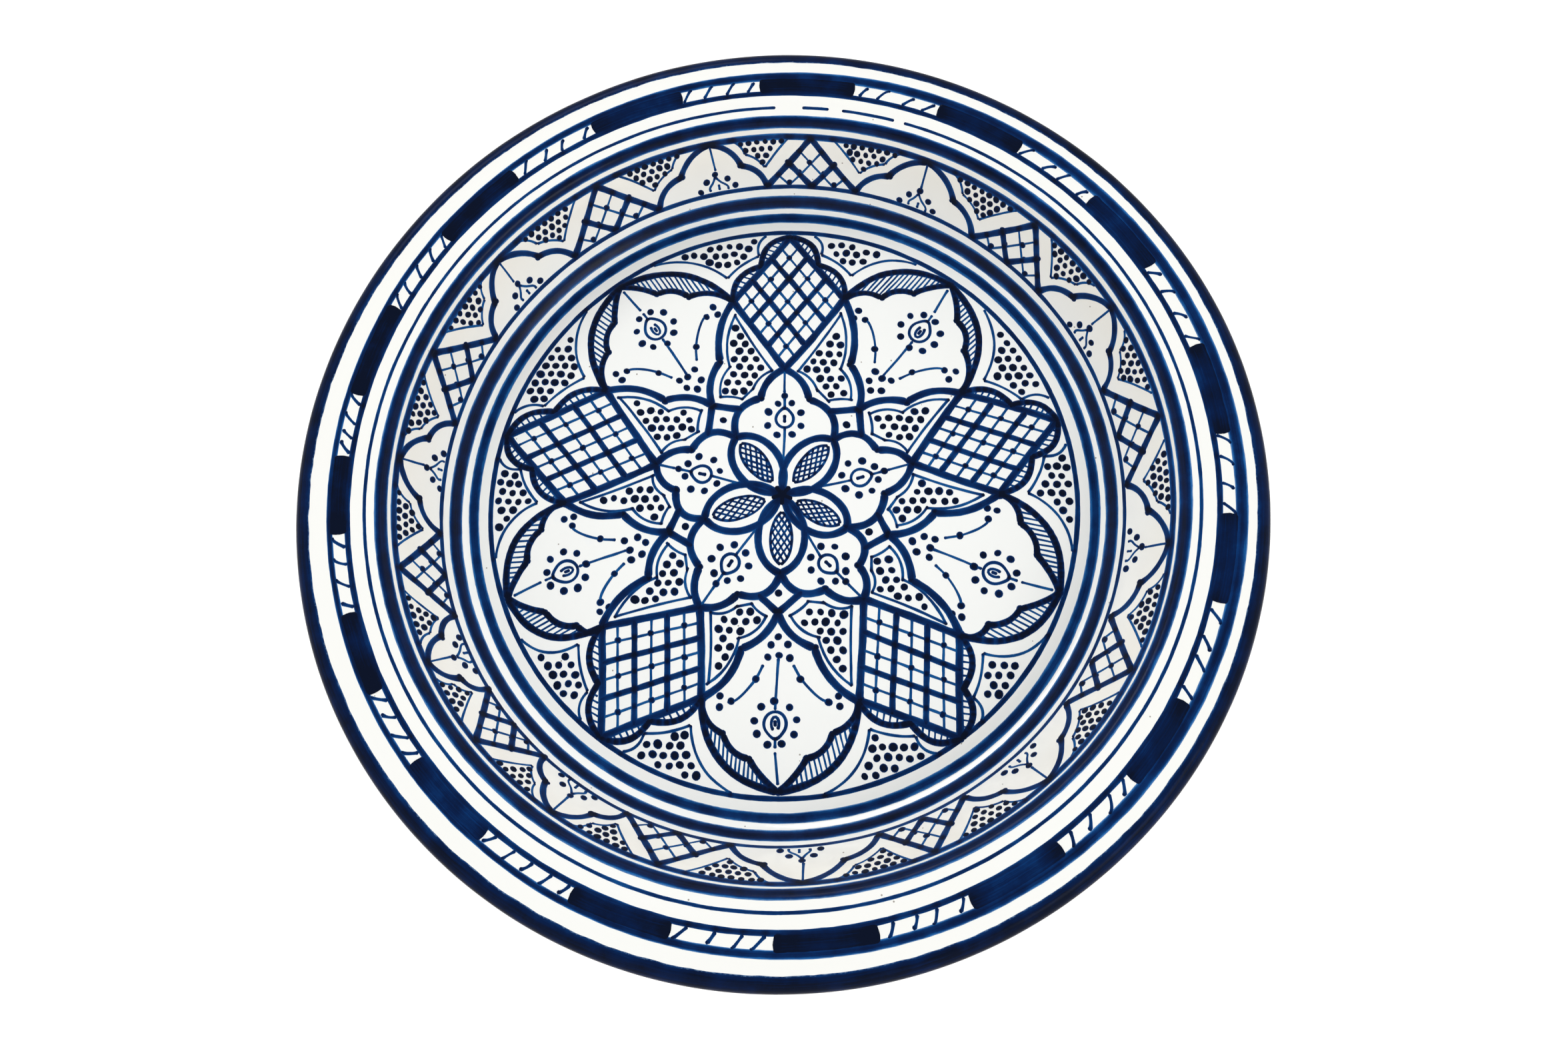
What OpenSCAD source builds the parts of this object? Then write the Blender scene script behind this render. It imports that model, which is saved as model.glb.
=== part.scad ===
// Large hand-painted ceramic serving plate: a thrown clay body on a foot ring,
// a white glaze on face, back and base, and cobalt-blue painting over the face.
// The origin is the centre of the foot's standing plane, with +Z up.
// Lengths are in millimetres and angles in degrees.

/* [Plate] */
// Diameter over the glazed lip
plate_d = 420; // [340:2:520]
// Width of the flange, from the lip's edge to the corner at the top of the wall
flange_w = 35.5; // [29:0.5:45]
// Rise of that corner above the well
wall_rise = 40.3; // [33:0.1:50]
// Slope of the wall
wall_angle = 60; // [52:1:68]
// Slope of the flange
flange_slope = 8.7; // [5:0.1:12]
// Radius of the curve from the well into the wall
heel_r = 15; // [12:0.5:18]
// Radius of the shoulder between wall and flange
shoulder_r = 5; // [4:0.5:6]
// Radius of the lip, above its edge
lip_r = 6.3; // [5.5:0.1:7.5]

/* [Clay] */
// Thickness of the clay in the floor and the wall
body_t = 8.5; // [7:0.1:10.5]
// Thickness of the clay in the flange
flange_t = 7.5; // [6:0.1:9]
// Radius of the lip's bead, below its edge
bead_r = 3; // [2.5:0.1:3.6]
// Width of the bead's taper into the flange
bead_w = 14; // [11:0.5:17]
// Radius of the fillet under the flange
back_fillet_r = 10; // [8:0.5:12]

/* [Foot] */
// Distance of the foot ring's outer face inside the edge of the flat floor
foot_inset = 22.5; // [12:0.5:36]
// Thickness of the foot ring's wall
foot_w = 8; // [6.5:0.1:10]
// Height of the foot ring
foot_h = 8; // [7.5:0.1:10]
// Width of the bevels on the standing edge
foot_bevel = 1.2; // [0.8:0.1:1.6]
// Radius of the two wire holes through the foot ring
wire_hole_r = 2; // [1.5:0.1:2.4]
// Angle between the two wire holes, seen from the plate's centre
wire_hole_gap = 16; // [12:1:20]

/* [Glaze and paint] */
// Thickness of the white glaze
glaze_t = 0.5; // [0.4:0.05:0.6]
// Thickness of the cobalt painting
paint_t = 0.25; // [0.2:0.05:0.3]
// How far the glaze runs down the sides of the foot
foot_glaze = 1.4; // [1:0.1:1.6]

/* [Brushes] */
// Stroke of the broad brush, for the outlines in the well
broad_w = 2.7; // [2.2:0.1:3.2]
// Stroke of the middle brush, for the bars of the lattices
middle_w = 2.1; // [1.7:0.1:2.5]
// Stroke of the liner, for stems, hatching and fine outlines
fine_w = 0.9; // [0.7:0.1:1.1]
// Stroke of the brush that outlines the arches and tents on the wall
wall_w = 1.9; // [1.6:0.1:2.3]
// Radius of the larger dots
dot_r = 1.65; // [1.4:0.05:2]
// Radius of the smaller dots
small_dot_r = 1.3; // [1.1:0.05:1.6]

/* [Bands] */
// Width of the line round the medallion
medallion_line_w = 1.7; // [1.4:0.1:2]
// Gap from the medallion's line to the start of the heel curve
medallion_gap = 4.2; // [3.5:0.1:5]
// Width of the bare white at the top of the lip's curve
lip_white = 1.6; // [1.3:0.1:1.9]

/* [Hidden] */
$fn = 64;

// Colours
clay_colour = [0.82, 0.68, 0.56];
glaze_colour = [0.96, 0.96, 0.93];
cobalt = [0.05, 0.17, 0.40];
dark_cobalt = [0.07, 0.10, 0.20];
light_cobalt = [0.10, 0.30, 0.55];

// ---- Small functions ----
function rad(a) = a * PI / 180;
function unit(p) = p / norm(p);
function left_of(p) = [-p[1], p[0]];
function mix(a, b, t) = a * (1 - t) + b * t;
function polar(r, a) = [r * cos(a), r * sin(a)];
function last(list) = list[len(list) - 1];
function backwards(list) = [for (i = [len(list) - 1:-1:0]) list[i]];
// A bowed stroke from a to b, standing h off its chord to the left
function bow(a, b, h, n = 8) =
    let (side = left_of(unit(b - a)))
    [for (i = [0:n]) let (t = i / n) mix(a, b, t) + side * 4 * h * t * (1 - t)];
// A cubic curve
function cubic(a, b, c, d, n = 10) =
    [for (i = [0:n]) let (t = i / n, u = 1 - t)
        a * u * u * u + b * 3 * u * u * t + c * 3 * u * t * t + d * t * t * t];
function heading(path, i) = unit(path[min(i + 1, len(path) - 1)] - path[max(i - 1, 0)]);
function edge_of(path, off) = [for (i = [0:len(path) - 1]) path[i] + left_of(heading(path, i)) * off];
// The outline of a brush stroke of a given width along a path
function ribbon(path, w) = concat(edge_of(path, w / 2), backwards(edge_of(path, -w / 2)));
// Whether a point lies inside a closed outline
function crossings(p, q, i = 0) =
    i >= len(q) ? 0 :
    let (a = q[i], b = q[(i + 1) % len(q)])
    (((a[1] > p[1]) != (b[1] > p[1])) &&
        (p[0] < (b[0] - a[0]) * (p[1] - a[1]) / (b[1] - a[1]) + a[0]) ? 1 : 0) + crossings(p, q, i + 1);
function inside(p, q) = crossings(p, q) % 2 == 1;
// The distance from a point to the nearest side of a closed outline
function to_side(p, a, b) =
    let (t = max(0, min(1, ((p - a) * (b - a)) / ((b - a) * (b - a))))) norm(p - mix(a, b, t));
function to_outline(p, q) = min([for (i = [0:len(q) - 1]) to_side(p, q[i], q[(i + 1) % len(q)])]);
// A closed outline with each side moved by d, to the right of its heading
function grown(q, d) = [for (i = [0:len(q) - 1])
    let (a = -left_of(unit(q[i] - q[(i + len(q) - 1) % len(q)])), b = -left_of(unit(q[(i + 1) % len(q)] - q[i])))
    q[i] + (a + b) * d / (1 + a * b)];
function centroid(q) = [for (c = [0, 1]) [for (v = q) v[c]] * [for (v = q) 1]] / len(q);

// ---- The profile of the painted face ----
arc_steps = 8;
back_z = foot_h;
well_z = back_z + body_t + glaze_t;
corner = [plate_d / 2 - flange_w, well_z + wall_rise];
well_r = corner[0] - wall_rise / tan(wall_angle) - heel_r * tan(wall_angle / 2);
heel_c = [well_r, well_z + heel_r];
shoulder_turn = wall_angle - flange_slope;
shoulder_c = corner - shoulder_r * tan(shoulder_turn / 2) * polar(1, wall_angle)
    + shoulder_r * polar(1, wall_angle - 90);
lip_start_r = plate_d / 2 - lip_r - lip_r * sin(flange_slope);
lip_c = [plate_d / 2 - lip_r,
    corner[1] + tan(flange_slope) * (lip_start_r - corner[0]) - lip_r * cos(flange_slope)];
// Lengths along the face, from its centre
heel_s = well_r;
wall_s = heel_s + heel_r * rad(wall_angle);
shoulder_s = wall_s + norm(shoulder_c + polar(shoulder_r, wall_angle + 90)
    - heel_c - polar(heel_r, wall_angle - 90));
flange_s = shoulder_s + shoulder_r * rad(shoulder_turn);
lip_s = flange_s + norm(lip_c + polar(lip_r, flange_slope + 90)
    - shoulder_c - polar(shoulder_r, flange_slope + 90));
rim_s = lip_s + lip_r * rad(90 + flange_slope);
// Points of the face as [radius, height, direction of the normal, length from the centre]
function face_arc(c, r, from, to, s0, sign) =
    [for (i = [0:arc_steps]) let (t = i / arc_steps, a = from + (to - from) * t,
        p = c + sign * polar(r, a)) [p[0], p[1], a, s0 + r * rad(abs(to - from)) * t]];
FACE = concat(
    [[0, well_z, 90, 0]],
    face_arc(heel_c, heel_r, 90, 90 + wall_angle, heel_s, -1),
    face_arc(shoulder_c, shoulder_r, 90 + wall_angle, 90 + flange_slope, shoulder_s, 1),
    face_arc(lip_c, lip_r, 90 + flange_slope, 0, lip_s, 1));
function face_index(s, i = 0) = (i >= len(FACE) - 2 || FACE[i + 1][3] >= s) ? i : face_index(s, i + 1);
function face_at(s) =
    let (i = face_index(s), a = FACE[i], b = FACE[i + 1]) mix(a, b, (s - a[3]) / (b[3] - a[3]));
function lifted(q, d) = [q[0] + d * cos(q[2]), q[1] + d * sin(q[2])];
function face_run(s0, s1) =
    concat([face_at(s0)], [for (q = FACE) if (q[3] > s0 + 0.01 && q[3] < s1 - 0.01) q], [face_at(s1)]);
// The section of a coat that follows the face from s0 to s1, between two heights over it
function coat(s0, s1, low, high) =
    let (run = face_run(s0, s1))
    concat([for (q = run) lifted(q, high)], backwards([for (q = run) lifted(q, low)]));
function face_r(s) = face_at(s)[0];

// ---- The profile of the back ----
wall_all = body_t + 2 * glaze_t;
flange_all = flange_t + 2 * glaze_t;
bead_end = -88;
function under_corner(w, f) = corner
    + [w * cos(flange_slope) - f * cos(wall_angle), w * sin(flange_slope) - f * sin(wall_angle)]
    / sin(shoulder_turn);
fillet_c = under_corner(wall_all + back_fillet_r, flange_all + back_fillet_r);
bead_c = [plate_d / 2 - bead_r, lip_c[1]];
taper_r = plate_d / 2 - bead_w;
taper_z = corner[1] + tan(flange_slope) * (taper_r - corner[0]) - flange_all / cos(flange_slope);
function back_arc(c, r, from, to, sign) =
    [for (i = [0:arc_steps]) let (a = from + (to - from) * i / arc_steps, p = c + sign * polar(r, a))
        [p[0], p[1], a]];
BACK = concat(
    back_arc(bead_c, bead_r, 0, bead_end, 1),
    [[taper_r, taper_z, -85]],
    back_arc(fillet_c, back_fillet_r, flange_slope - 90, wall_angle - 90, -1),
    back_arc(heel_c, heel_r + wall_all, wall_angle - 90, -90, 1));
foot_r = well_r - foot_inset;
foot_in_r = foot_r - foot_w;
foot_glaze_z = foot_h - glaze_t - foot_glaze;
wire_hole_z = (foot_bevel + foot_glaze_z) / 2;

// ---- Bands, as shares of the straight stretches that they divide ----
medallion_r = well_r - medallion_gap;
function on_heel(t) = heel_s + t * (wall_s - heel_s);
function on_wall(t) = wall_s + t * (shoulder_s - wall_s);
function on_flange(t) = flange_s + t * (lip_s - flange_s);
border_in = [on_flange(0.42), on_flange(0.485)];
border_out = [on_flange(0.69), on_flange(0.80)];
wall_base = [on_wall(0.09), on_wall(0.14)];
wall_top = [on_wall(0.85), on_wall(0.92)];
wall_foot_s = on_wall(0.14);
wall_tip_s = on_wall(0.85);

// ---- Places of the motifs, laid out by eye by the painter ----
// Left foot, tip and right foot of each tent on the wall
TENTS = [
    [1, 9.5, 18], [39, 46, 54.5], [77, 85.5, 93], [113, 121.5, 130.5], [151, 159.5, 168],
    [187.5, 194, 202], [215.5, 222.5, 230], [246, 254, 263], [286, 292.5, 300.5], [322.5, 330.5, 338.5]
];
// Tip of the arch that follows each tent
ARCH_TIPS = [28, 66, 102, 141.5, 177, 209, 237.5, 274, 311, 350];
// First and last edge of each white window in the border
WINDOWS = [
    [17.2, 30.3], [42.2, 55], [67.2, 80], [93, 104.7], [117.6, 131], [143.7, 156.3], [169, 178.2],
    [188.3, 199.5], [209.8, 220.5], [232.5, 245.8], [257.8, 270.5], [282.3, 294.2], [306, 318.3],
    [329.2, 343], [354, 365.3]
];
ticks_per_window = 4;
// Corners of the five lozenges in a medallion of 138 radius: inner, left, outer, right
drawn_r = 138;
drawn = medallion_r / drawn_r;
LOZENGES = [for (q = [
    [[1, 65], [-25, 101], [3, 136], [30, 102]],
    [[-60, 16.5], [-103, -2.5], [-133, 31], [-86, 54]],
    [[-37, -52.5], [-35, -94], [-80, -112], [-82, -62]],
    [[38.5, -48.5], [82, -65], [81, -111], [36, -95]],
    [[62, 17], [86, 52], [131, 38], [102.5, 2]]
]) [for (p = q) p * drawn]];
// Inner end and tip of the petal that follows each lozenge
PETALS = [for (q = [
    [[-34, 46], [-82, 109]], [[-53, -17], [-127, -49]], [[-1, -55], [0, -135]],
    [[50.5, -18], [128, -45]], [[37, 44], [83, 109]]
]) [for (p = q) p * drawn]];
// Tip of the leaf inside each petal
LEAVES = [for (p = [[-22, 30], [-36, -10.5], [0, -36.5], [31, -14.5], [24.5, 28.5]]) p * drawn];
HUB = [0.5, 1.5] * drawn;
units = [0:4];

// ---- Building modules ----
module stroke(path, w) polygon(ribbon(path, w));
module line(a, b, w) stroke([a, b], w);
module dot(p, r) translate(p) circle(r);
module on_well() translate([0, 0, well_z]) linear_extrude(paint_t) children();
module ring_coat(s0, s1) rotate_extrude($fn = 128) polygon(coat(s0, s1, 0, paint_t));
// Lays a plan outline on the sloping face between s0 and s1
module on_slope(s0, s1) intersection() {
    ring_coat(s0, s1);
    translate([0, 0, well_z]) linear_extrude(2 * wall_rise) children();
}

// ---- Clay and glaze ----
// The flange starts halfway round the shoulder and halfway round the fillet below it
face_split = 10 + arc_steps / 2;
back_split = 10 + arc_steps / 2;
module clay_body() color(clay_colour) rotate_extrude($fn = 128) polygon(concat(
    [for (i = [0:face_split]) lifted(FACE[i], -glaze_t)],
    [for (i = [back_split:len(BACK) - 1]) lifted(BACK[i], -glaze_t)],
    [[0, back_z]]));

module clay_flange() color(clay_colour) rotate_extrude($fn = 128) polygon(concat(
    [for (i = [face_split:len(FACE) - 1]) lifted(FACE[i], -glaze_t)],
    [for (i = [1:back_split]) lifted(BACK[i], -glaze_t)]));

module foot_ring() color(clay_colour) difference() {
    rotate_extrude($fn = 128) polygon([
        [foot_in_r, foot_bevel], [foot_in_r + foot_bevel, 0], [foot_r - foot_bevel, 0],
        [foot_r, foot_bevel], [foot_r, foot_h], [foot_in_r, foot_h]]);
    for (side = [-1, 1])
        rotate([0, 0, 90 + side * wire_hole_gap / 2])
            translate([foot_in_r - foot_w, 0, wire_hole_z])
                rotate([0, 90, 0]) cylinder(h = 3 * foot_w, r = wire_hole_r);
}

module face_glaze() color(glaze_colour) rotate_extrude($fn = 128)
    polygon(coat(0, rim_s, -glaze_t, 0));

module back_glaze() color(glaze_colour) rotate_extrude($fn = 128) polygon(concat(
    [for (q = BACK) [q[0], q[1]]],
    [[foot_r + glaze_t, back_z - glaze_t], [foot_r + glaze_t, foot_glaze_z],
        [foot_r, foot_glaze_z], [foot_r, back_z]],
    backwards([for (q = BACK) lifted(q, -glaze_t)])));

module base_glaze() color(glaze_colour) rotate_extrude($fn = 128) polygon([
    [0, back_z], [foot_in_r, back_z], [foot_in_r, foot_glaze_z], [foot_in_r - glaze_t, foot_glaze_z],
    [foot_in_r - glaze_t, back_z - glaze_t], [0, back_z - glaze_t]]);

// ---- Bands and border ----
module lip_band() color(dark_cobalt) ring_coat(lip_s + lip_white, rim_s);
module border_outer_line() color(cobalt) ring_coat(border_out[0], border_out[1]);
module border_inner_line() color(cobalt) ring_coat(border_in[0], border_in[1]);
module flange_line() color(cobalt) ring_coat(on_flange(0.155), on_flange(0.2));
module shoulder_band() color(dark_cobalt) ring_coat(on_wall(0.99), on_flange(0.01));
module wall_top_line() color(cobalt) ring_coat(wall_top[0], wall_top[1]);
module wall_base_line() color(cobalt) ring_coat(wall_base[0], wall_base[1]);
module heel_band() color(dark_cobalt) ring_coat(on_heel(0.63), on_heel(0.92));
module well_band() color(cobalt) ring_coat(on_heel(0.12), on_heel(0.36));
module medallion_line() color(cobalt)
    ring_coat(medallion_r - medallion_line_w / 2, medallion_r + medallion_line_w / 2);

// The sloping border between its two lines, cut to blocks
module border_blocks() color(dark_cobalt)
    for (i = [0:len(WINDOWS) - 1]) {
        from = WINDOWS[i][1];
        to = i + 1 < len(WINDOWS) ? WINDOWS[i + 1][0] : WINDOWS[0][0] + 360;
        rotate([0, 0, from]) rotate_extrude(angle = to - from, $fn = 128)
            polygon(coat(border_in[1], border_out[0], 0, paint_t));
    }

module border_ticks() color(cobalt) on_slope(border_in[1], border_out[0])
    for (w = WINDOWS)
        for (i = [0:ticks_per_window - 1]) {
            a = mix(w[0], w[1], (i + 0.35) / ticks_per_window);
            line(polar(face_r(border_out[0]) + fine_w, a), polar(face_r(border_in[1]) - fine_w, a + 0.9),
                fine_w);
        }

// ---- The wall's frieze ----
// A point of the wall at an angle and a share of the frieze's height, in plan
function frieze(a, t) = polar(face_r(mix(wall_foot_s, wall_tip_s, t)), a);
function frieze_path(path) = [for (p = path) frieze(p[0], p[1])];
// A stroke in the frieze, with its width corrected for the slope of the wall
frieze_scale = rad(1) * face_r((wall_foot_s + wall_tip_s) / 2);
frieze_h = wall_tip_s - wall_foot_s;
function flat_frieze(path) = [for (p = path) [p[0] * frieze_scale, p[1] * frieze_h]];
module frieze_stroke(path, w)
    polygon([for (q = ribbon(flat_frieze(path), w)) frieze(q[0] / frieze_scale, q[1] / frieze_h)]);
module frieze_dot(a, t, r) polygon([for (i = [0:7])
    frieze(a + r * cos(45 * i) / frieze_scale, t + r * sin(45 * i) / frieze_h)]);
module on_frieze() on_slope(wall_foot_s, wall_tip_s) children();
function next_foot(i) = i + 1 < len(TENTS) ? TENTS[i + 1][0] : TENTS[0][0] + 360;

// One side of an arch: two scallops from its foot up to its tip
function arch_side(foot, tip) =
    let (cusp = mix(foot, tip, 0.5), turn = foot < tip ? 1 : -1)
    [bow([foot * frieze_scale, 0], [cusp * frieze_scale, 0.5 * frieze_h], turn * 2.4, 4),
     bow([cusp * frieze_scale, 0.46 * frieze_h], [tip * frieze_scale, frieze_h], turn * 2, 4)];
module wall_arches() color(cobalt) on_frieze()
    for (i = [0:len(TENTS) - 1])
        for (foot = [TENTS[i][2], next_foot(i)])
            for (path = arch_side(foot, ARCH_TIPS[i]))
                polygon([for (q = ribbon(path, wall_w)) frieze(q[0] / frieze_scale, q[1] / frieze_h)]);

module wall_tents() color(cobalt) on_frieze()
    for (t = TENTS) {
        foot = mix(t[0], t[2], 0.5);
        frieze_stroke([[t[0], 0], [t[1], 1]], wall_w);
        frieze_stroke([[t[2], 0], [t[1], 1]], wall_w);
        frieze_stroke([[mix(t[0], t[1], 0.5), 0.5], [foot, 0]], wall_w);
        frieze_stroke([[mix(t[2], t[1], 0.5), 0.5], [foot, 0]], wall_w);
    }

module wall_tent_lattices() color(light_cobalt) on_frieze()
    for (t = TENTS) {
        foot = mix(t[0], t[2], 0.5);
        for (side = [0, 2]) {
            frieze_stroke([[mix(t[side], t[1], 0.75), 0.75], [mix(t[2 - side], foot, 0.5), 0]], fine_w);
            frieze_stroke([[mix(t[side], t[1], 0.25), 0.25], [mix(t[side], foot, 0.5), 0]], fine_w);
            frieze_dot(mix(t[side], foot, 0.5), 0.05, small_dot_r);
        }
        frieze_dot(t[1], 0.5, small_dot_r);
    }

// A stem from the arch's tip and a sprig of dots at its foot
flower_dots = [[-3.2, 0.06], [-1.9, 0.24], [0, 0.4], [1.7, 0.24], [3, 0.06]];
module wall_flowers() color(light_cobalt) on_frieze()
    for (a = ARCH_TIPS) {
        frieze_stroke([[a, 0.96], [a, 0.4]], fine_w);
        frieze_stroke([[a, 0.3], [a - 1.2, 0.2], [a - 1.8, 0.02]], fine_w);
        frieze_stroke([[a, 0.3], [a + 1.2, 0.18], [a + 1.6, 0.02]], fine_w);
        frieze_stroke([[a, 0.16], [a - 0.1, 0.04]], fine_w);
        for (d = flower_dots) frieze_dot(a + d[0], d[1], small_dot_r);
    }

// The narrow cells between a tent and its two arches hang from the frieze's top line
function hanging_cell(foot, tip, arch_tip) =
    let (side = tip < foot ? 1 : -1, low = 0.4)
    [[foot + side * 0.2, low],
     [mix(foot, tip, 0.8) + side * 2.2, 1],
     [mix(foot, arch_tip, 0.62) - side * 0.4, 1],
     [mix(foot, arch_tip, 0.42) - side * 0.4, 0.68]];
function cells_of(i) = let (t = TENTS[i], before = ARCH_TIPS[(i + 9) % 10] - (i == 0 ? 360 : 0))
    [hanging_cell(t[2], t[1], ARCH_TIPS[i]), hanging_cell(t[0], t[1], before)];
module wall_spandrel_outlines() color(light_cobalt) on_frieze()
    for (i = [0:len(TENTS) - 1])
        for (cell = cells_of(i)) {
            frieze_stroke([cell[1], cell[0]], fine_w);
            frieze_stroke([cell[3], cell[0]], fine_w);
            frieze_stroke([cell[2], cell[3]], fine_w);
        }
module wall_spandrel_dots() color(dark_cobalt) on_frieze()
    for (i = [0:len(TENTS) - 1])
        for (cell = cells_of(i)) {
            span = cell[2][0] - cell[1][0];
            for (j = [0:4]) frieze_dot(cell[1][0] + span * (j + 0.5) / 5, 0.9, small_dot_r);
            for (j = [0:2]) frieze_dot(mix(cell[0][0], cell[1][0] + span * (j + 1) / 4, 0.75), 0.7, small_dot_r);
            frieze_dot(cell[0][0] + span * 0.04, 0.54, small_dot_r);
        }

// ---- The medallion: star, leaves and lobes ----
module star_hub() color(dark_cobalt) on_well() dot(HUB, 4);

// One side of a leaf, bowed to the left or the right of its axis
function leaf_side(tip, side, swell, from) =
    let (l = norm(tip - HUB), e = unit(tip - HUB), v = left_of(e) * side * swell * l, root = mix(HUB, tip, from))
    cubic(root, mix(root, tip, 0.2) + v, mix(root, tip, 0.86) + v, tip);
function leaf_heart(tip, side) = leaf_side(mix(HUB, tip, 0.87), side, 0.19, 0.25);
module leaf_outlines() color(cobalt) on_well()
    for (tip = LEAVES, side = [-1, 1]) stroke(leaf_side(tip, side, 0.38, 0.04), broad_w);

module leaf_hatching() color(light_cobalt) on_well()
    for (tip = LEAVES) {
        l = norm(tip - HUB);
        e = unit(tip - HUB);
        for (side = [-1, 1]) stroke(leaf_heart(tip, side), fine_w);
        intersection() {
            polygon(concat(leaf_heart(tip, 1), backwards(leaf_heart(tip, -1))));
            for (i = [1:6], side = [-1, 1]) {
                at = mix(HUB, tip, 0.22 + 0.09 * i);
                line(at - 9 * (e * 0.8 + left_of(e) * 0.5 * side), at + 9 * (e * 0.8 + left_of(e) * 0.5 * side),
                    fine_w * 0.7);
            }
        }
    }

// A lobe runs from the leaf on its right, over the lozenge's inner corner, to the leaf on its left
function leaf_right(k) = LEAVES[(k + 4) % 5];
function lobe_mid(k) = mix(LEAVES[k], leaf_right(k), 0.5);
function lobe_cusp(k, tip) =
    lobe_mid(k) + (LOZENGES[k][0] - lobe_mid(k)) * 0.565 + (tip - lobe_mid(k)) * 0.5;
function lobe_side(k, tip, side) =
    [bow(tip, lobe_cusp(k, tip), side * 5.6 * drawn), bow(lobe_cusp(k, tip), LOZENGES[k][0], side * 2.6 * drawn)];
module lobe_outlines() color(cobalt) on_well()
    for (k = units) {
        for (path = lobe_side(k, LEAVES[k], 1)) stroke(path, broad_w);
        for (path = lobe_side(k, leaf_right(k), -1)) stroke(path, broad_w);
        for (tip = [LEAVES[k], leaf_right(k)]) dot(lobe_cusp(k, tip), broad_w * 0.6);
        dot(LEAVES[k], broad_w * 0.75);
    }

eye_r = 4.4 * drawn;
module lobe_flowers() color(light_cobalt) on_well()
    for (k = units) {
        eye = mix(lobe_mid(k), LOZENGES[k][0], 0.28);
        e = unit(LOZENGES[k][0] - eye);
        line(LOZENGES[k][0], eye + e * (eye_r + 1), fine_w);
        line(eye + e * 2, eye - e * 2, fine_w);
        line(eye - e * eye_r, HUB, fine_w);
        difference() {
            dot(eye, eye_r + fine_w / 2);
            dot(eye, eye_r - fine_w / 2);
        }
        for (i = [0:7])
            dot(eye + (eye_r + 4.2) * (e * cos(45 * i + 22) + left_of(e) * sin(45 * i + 22)), dot_r);
    }

// ---- The medallion: lozenges ----
// A point inside a lozenge, from its inner corner towards its left and its right one
function in_lozenge(q, a, b) = mix(mix(q[0], q[1], a), mix(q[3], q[2], a), b);
module lozenge_frames() color(cobalt) on_well()
    for (q = LOZENGES) {
        for (i = [0:3]) line(q[i], q[(i + 1) % 4], broad_w);
        for (p = q) dot(p, broad_w * 0.7);
    }
module lozenge_bars() color(cobalt) on_well()
    for (q = LOZENGES, t = [1 / 3, 2 / 3]) {
        line(in_lozenge(q, t, 0), in_lozenge(q, t, 1), middle_w);
        line(in_lozenge(q, 0, t), in_lozenge(q, 1, t), middle_w);
    }
module lozenge_liners() color(light_cobalt) on_well()
    for (q = LOZENGES) {
        for (t = [1 / 6, 1 / 2, 5 / 6]) {
            line(in_lozenge(q, t, 0), in_lozenge(q, t, 1), fine_w);
            line(in_lozenge(q, 0, t), in_lozenge(q, 1, t), fine_w);
        }
        for (a = [1 / 6, 1 / 2, 5 / 6], b = [1 / 6, 1 / 2, 5 / 6]) dot(in_lozenge(q, a, b), small_dot_r);
    }
// The two scallops on each outer side of a lozenge
function scallop_cusp(q, corner_i) = mix(q[corner_i], q[2], 0.5) + unit(mix(q[corner_i], q[2], 0.5) - q[0]) * 1.5;
function scallops(q, corner_i) =
    let (side = corner_i == 1 ? 1 : -1, cusp = scallop_cusp(q, corner_i))
    [bow(q[corner_i], cusp, side * 5 * drawn), bow(cusp, q[2], side * 5 * drawn)];
module lozenge_scallops() color(cobalt) on_well()
    for (q = LOZENGES, i = [1, 3]) {
        for (path = scallops(q, i)) stroke(path, broad_w * 0.85);
        dot(scallop_cusp(q, i), broad_w * 0.6);
    }
module lozenge_hatching() color(light_cobalt) on_well()
    for (q = LOZENGES, i = [1, 3]) {
        paths = scallops(q, i);
        for (j = [0, 1], m = [1:6]) {
            on_edge = mix(q[i], q[2], (j + m / 8) / 2);
            line(on_edge, paths[j][m + 1], fine_w * 0.8);
        }
    }

// ---- The medallion: petals ----
// Petals are drawn in their own frame: u from the inner end to the tip, v to the left
petal_l = 80.5;
function in_petal(p, u, v) =
    let (e = unit(p[1] - p[0]), l = norm(p[1] - p[0]) / petal_l) p[0] + (e * u + left_of(e) * v) * l;
function petal_corner(k, side) = side > 0 ? LOZENGES[(k + 1) % 5][3] : LOZENGES[k][1];
function inner_cusp(k, side) = in_petal(PETALS[k], 16.5, side * 16.8);
function edge_points(k, side) = [petal_corner(k, side), in_petal(PETALS[k], 55, side * 24.7),
    in_petal(PETALS[k], 66, side * 13), PETALS[k][1]];
edge_bows = [3, 2.4, 1];
function crescent_arc(k, side) =
    bow(petal_corner(k, side), PETALS[k][1], side * 11 * drawn, 14);
function crescent_edge(k, side) =
    [for (i = [0:2]) bow(edge_points(k, side)[i], edge_points(k, side)[i + 1], side * edge_bows[i] * drawn)];
module petal_outlines() color(cobalt) on_well() {
    for (k = units) dot(PETALS[k][0], broad_w * 0.7);
    for (k = units, side = [-1, 1]) {
        stroke(bow(petal_corner(k, side), inner_cusp(k, side), side * 3.4 * drawn), broad_w);
        stroke(bow(inner_cusp(k, side), PETALS[k][0], side * 2.8 * drawn), broad_w);
        line(PETALS[k][0], link_foot(k, side), broad_w);
        dot(inner_cusp(k, side), broad_w * 0.6);
        dot(petal_corner(k, side), broad_w * 0.9);
    }
}
module petal_crescents() color(cobalt) on_well()
    for (k = units, side = [-1, 1]) {
        stroke(crescent_arc(k, side), broad_w * 0.9);
        for (path = crescent_edge(k, side)) stroke(path, broad_w * 0.8);
        for (i = [1, 2]) dot(edge_points(k, side)[i], broad_w * 0.6);
    }
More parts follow.
